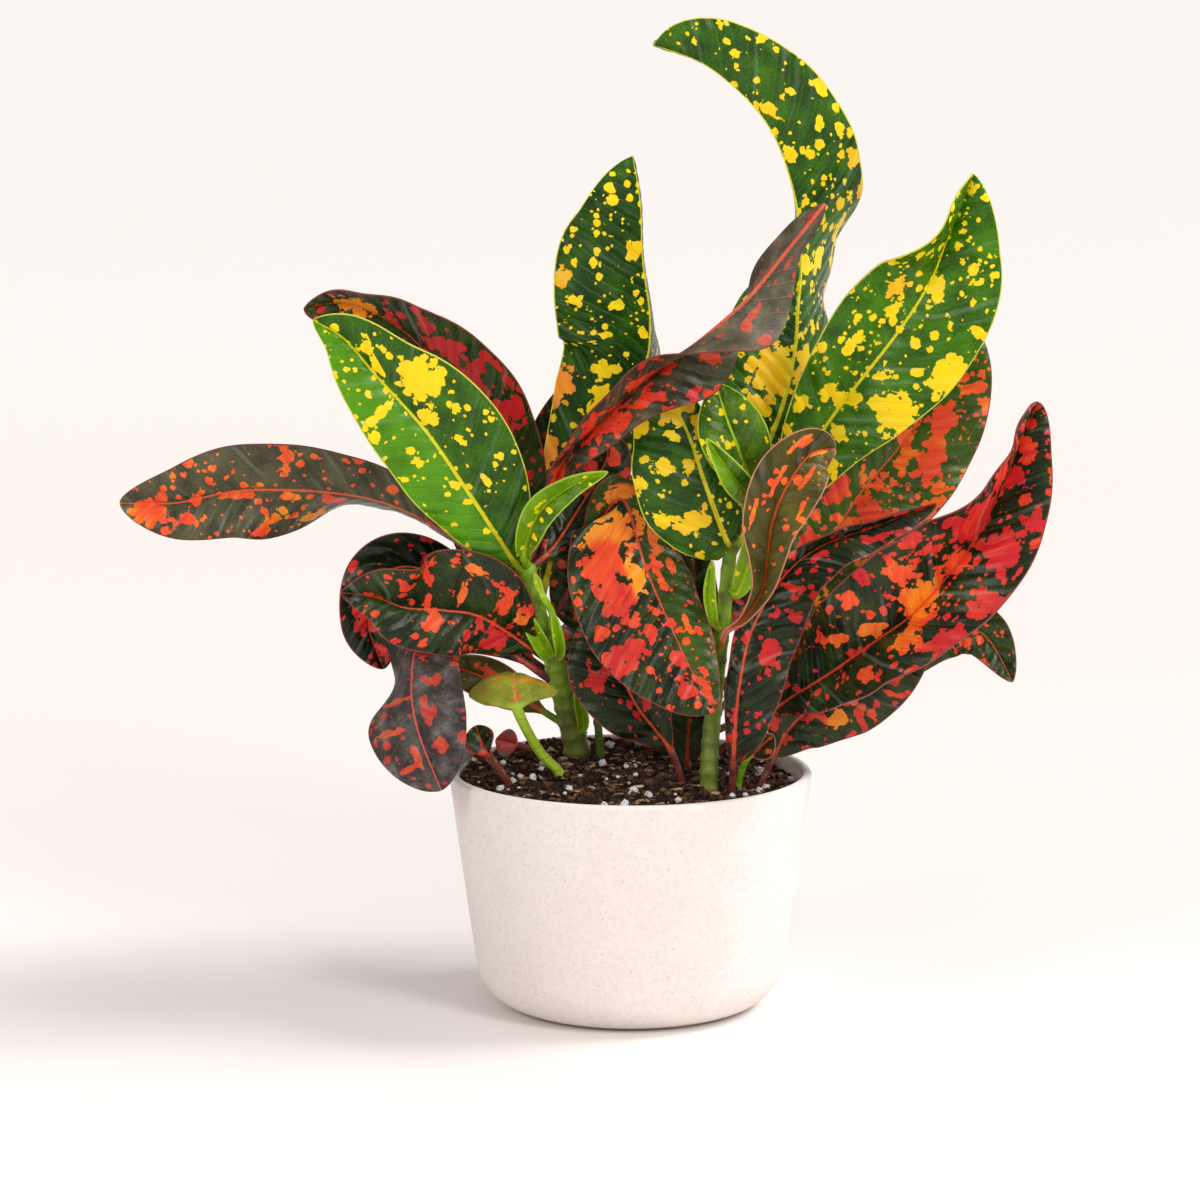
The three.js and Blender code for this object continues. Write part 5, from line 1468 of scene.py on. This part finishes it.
def under_side(name, ground, tones, rib, stalk, spread):
    """The dull back of a leaf, where the marks shine through and the ribs stand out."""
    finish = Finish(name)
    numbers = LeafNumbers(finish)
    cloud = finish.noise(numbers.place, 0.12, 3)
    fine = finish.noise(numbers.place, 0.8, 4)
    veins, _ = side_veins(finish, numbers)
    marked = marked_parts(finish, numbers, spread)
    light = (numbers.shade * 0.4 + cloud * 0.8 + fine * 0.25 - 0.22).rise(0.25, 0.8)
    rib_edge = 0.85 - numbers.u * 0.6 - numbers.across.size() + (fine - 0.5) * 0.8
    skin = finish.coated(
        ground[0],
        (light, ground[1]),
        (marked * 0.65, warm_tone(finish, numbers, cloud, tones)),
        (veins * 0.12, rib),
        (rib_edge.rise(-0.3, 0.3) * 0.9, rib),
        (numbers.u.rise(0.05, -0.03), stalk))
    return finish.done(base_color=skin, roughness=cloud * 0.15 + 0.42, specular_ior_level=0.3,
                       normal=finish.bump(fine * 0.5 + veins, 0.4 * MM, 0.7))


print("wax bloom:", [round(channel, 2) for channel in PAINTED_SHEEN])

# %% [markdown]
# Five looks cover all the leaves: green ones, dark ones with red marks, dusky and bronze ones between
# these, and the young ones. Each has an upper and an under side.

# %% The five looks
YELLOWS = colour(250, 216, 16), colour(246, 190, 22), colour(240, 140, 44)
PALE_YELLOWS = colour(214, 196, 110), colour(220, 190, 120), colour(226, 170, 120)
REDS = colour(196, 30, 38), colour(232, 74, 38), colour(244, 150, 34)
GREEN_STALK = colour(120, 160, 30)
RED_STALK = colour(104, 46, 40)
leaf_finishes = {
    "green": (
        upper_side("green_upper", (colour(8, 50, 4), colour(84, 150, 2)), YELLOWS, colour(228, 216, 34),
                   margin=colour(206, 206, 70), stalk=GREEN_STALK, spread=0.12, gloss=0.2),
        under_side("green_under", (colour(84, 104, 56), colour(156, 164, 116)), PALE_YELLOWS,
                   colour(196, 190, 96), stalk=GREEN_STALK, spread=0.12)),
    "red": (
        # The red margin is the leaf's own crimson, lightened as a painted highlight along the rim.
        upper_side("red_upper", (colour(10, 18, 12), colour(72, 104, 26)), REDS, colour(216, 76, 48),
                   margin=colour(132, 56, 54), stalk=RED_STALK, spread=0.24, gloss=0.2, rib_width=1.05),
        under_side("red_under", (colour(40, 38, 36), colour(150, 142, 134)), REDS,
                   colour(224, 84, 62), stalk=RED_STALK, spread=0.12)),
    "dusky": (
        upper_side("dusky_upper", (colour(28, 30, 22), colour(112, 108, 78)), REDS, colour(226, 92, 54),
                   margin=colour(112, 52, 48), stalk=RED_STALK, spread=0.2, gloss=0.24, rib_width=1.2),
        under_side("dusky_under", (colour(58, 56, 40), colour(126, 118, 92)), REDS,
                   colour(224, 96, 62), stalk=RED_STALK, spread=0.12)),
    "bronze": (
        upper_side("bronze_upper", (colour(36, 32, 12), colour(104, 96, 26)), REDS, colour(196, 76, 34),
                   margin=colour(196, 124, 96), stalk=GREEN_STALK, spread=0.12, gloss=0.3),
        under_side("bronze_under", (colour(96, 92, 44), colour(150, 146, 70)), REDS,
                   colour(214, 110, 70), stalk=GREEN_STALK, spread=0.2)),
    "young": (
        upper_side("young_upper", (colour(18, 62, 6), colour(122, 168, 16)), YELLOWS, colour(168, 200, 44),
                   margin=colour(164, 196, 56), stalk=colour(138, 180, 34), spread=0.1, gloss=0.22),
        under_side("young_under", (colour(96, 112, 18), colour(162, 166, 52)), REDS,
                   colour(216, 130, 64), stalk=colour(150, 176, 40), spread=0.2)),
}
print("looks:", list(leaf_finishes))

# %% [markdown]
# Now all the leaves grow, one after the other, each with its own seed.

# %% All the leaves
faces = {name: leaf(name, plan, seed) for seed, (name, plan) in enumerate(leaves.items(), 1)}
print("faces on leaves:", sum(faces.values()), "largest leaf:", max(faces, key=faces.get))

# %% [markdown]
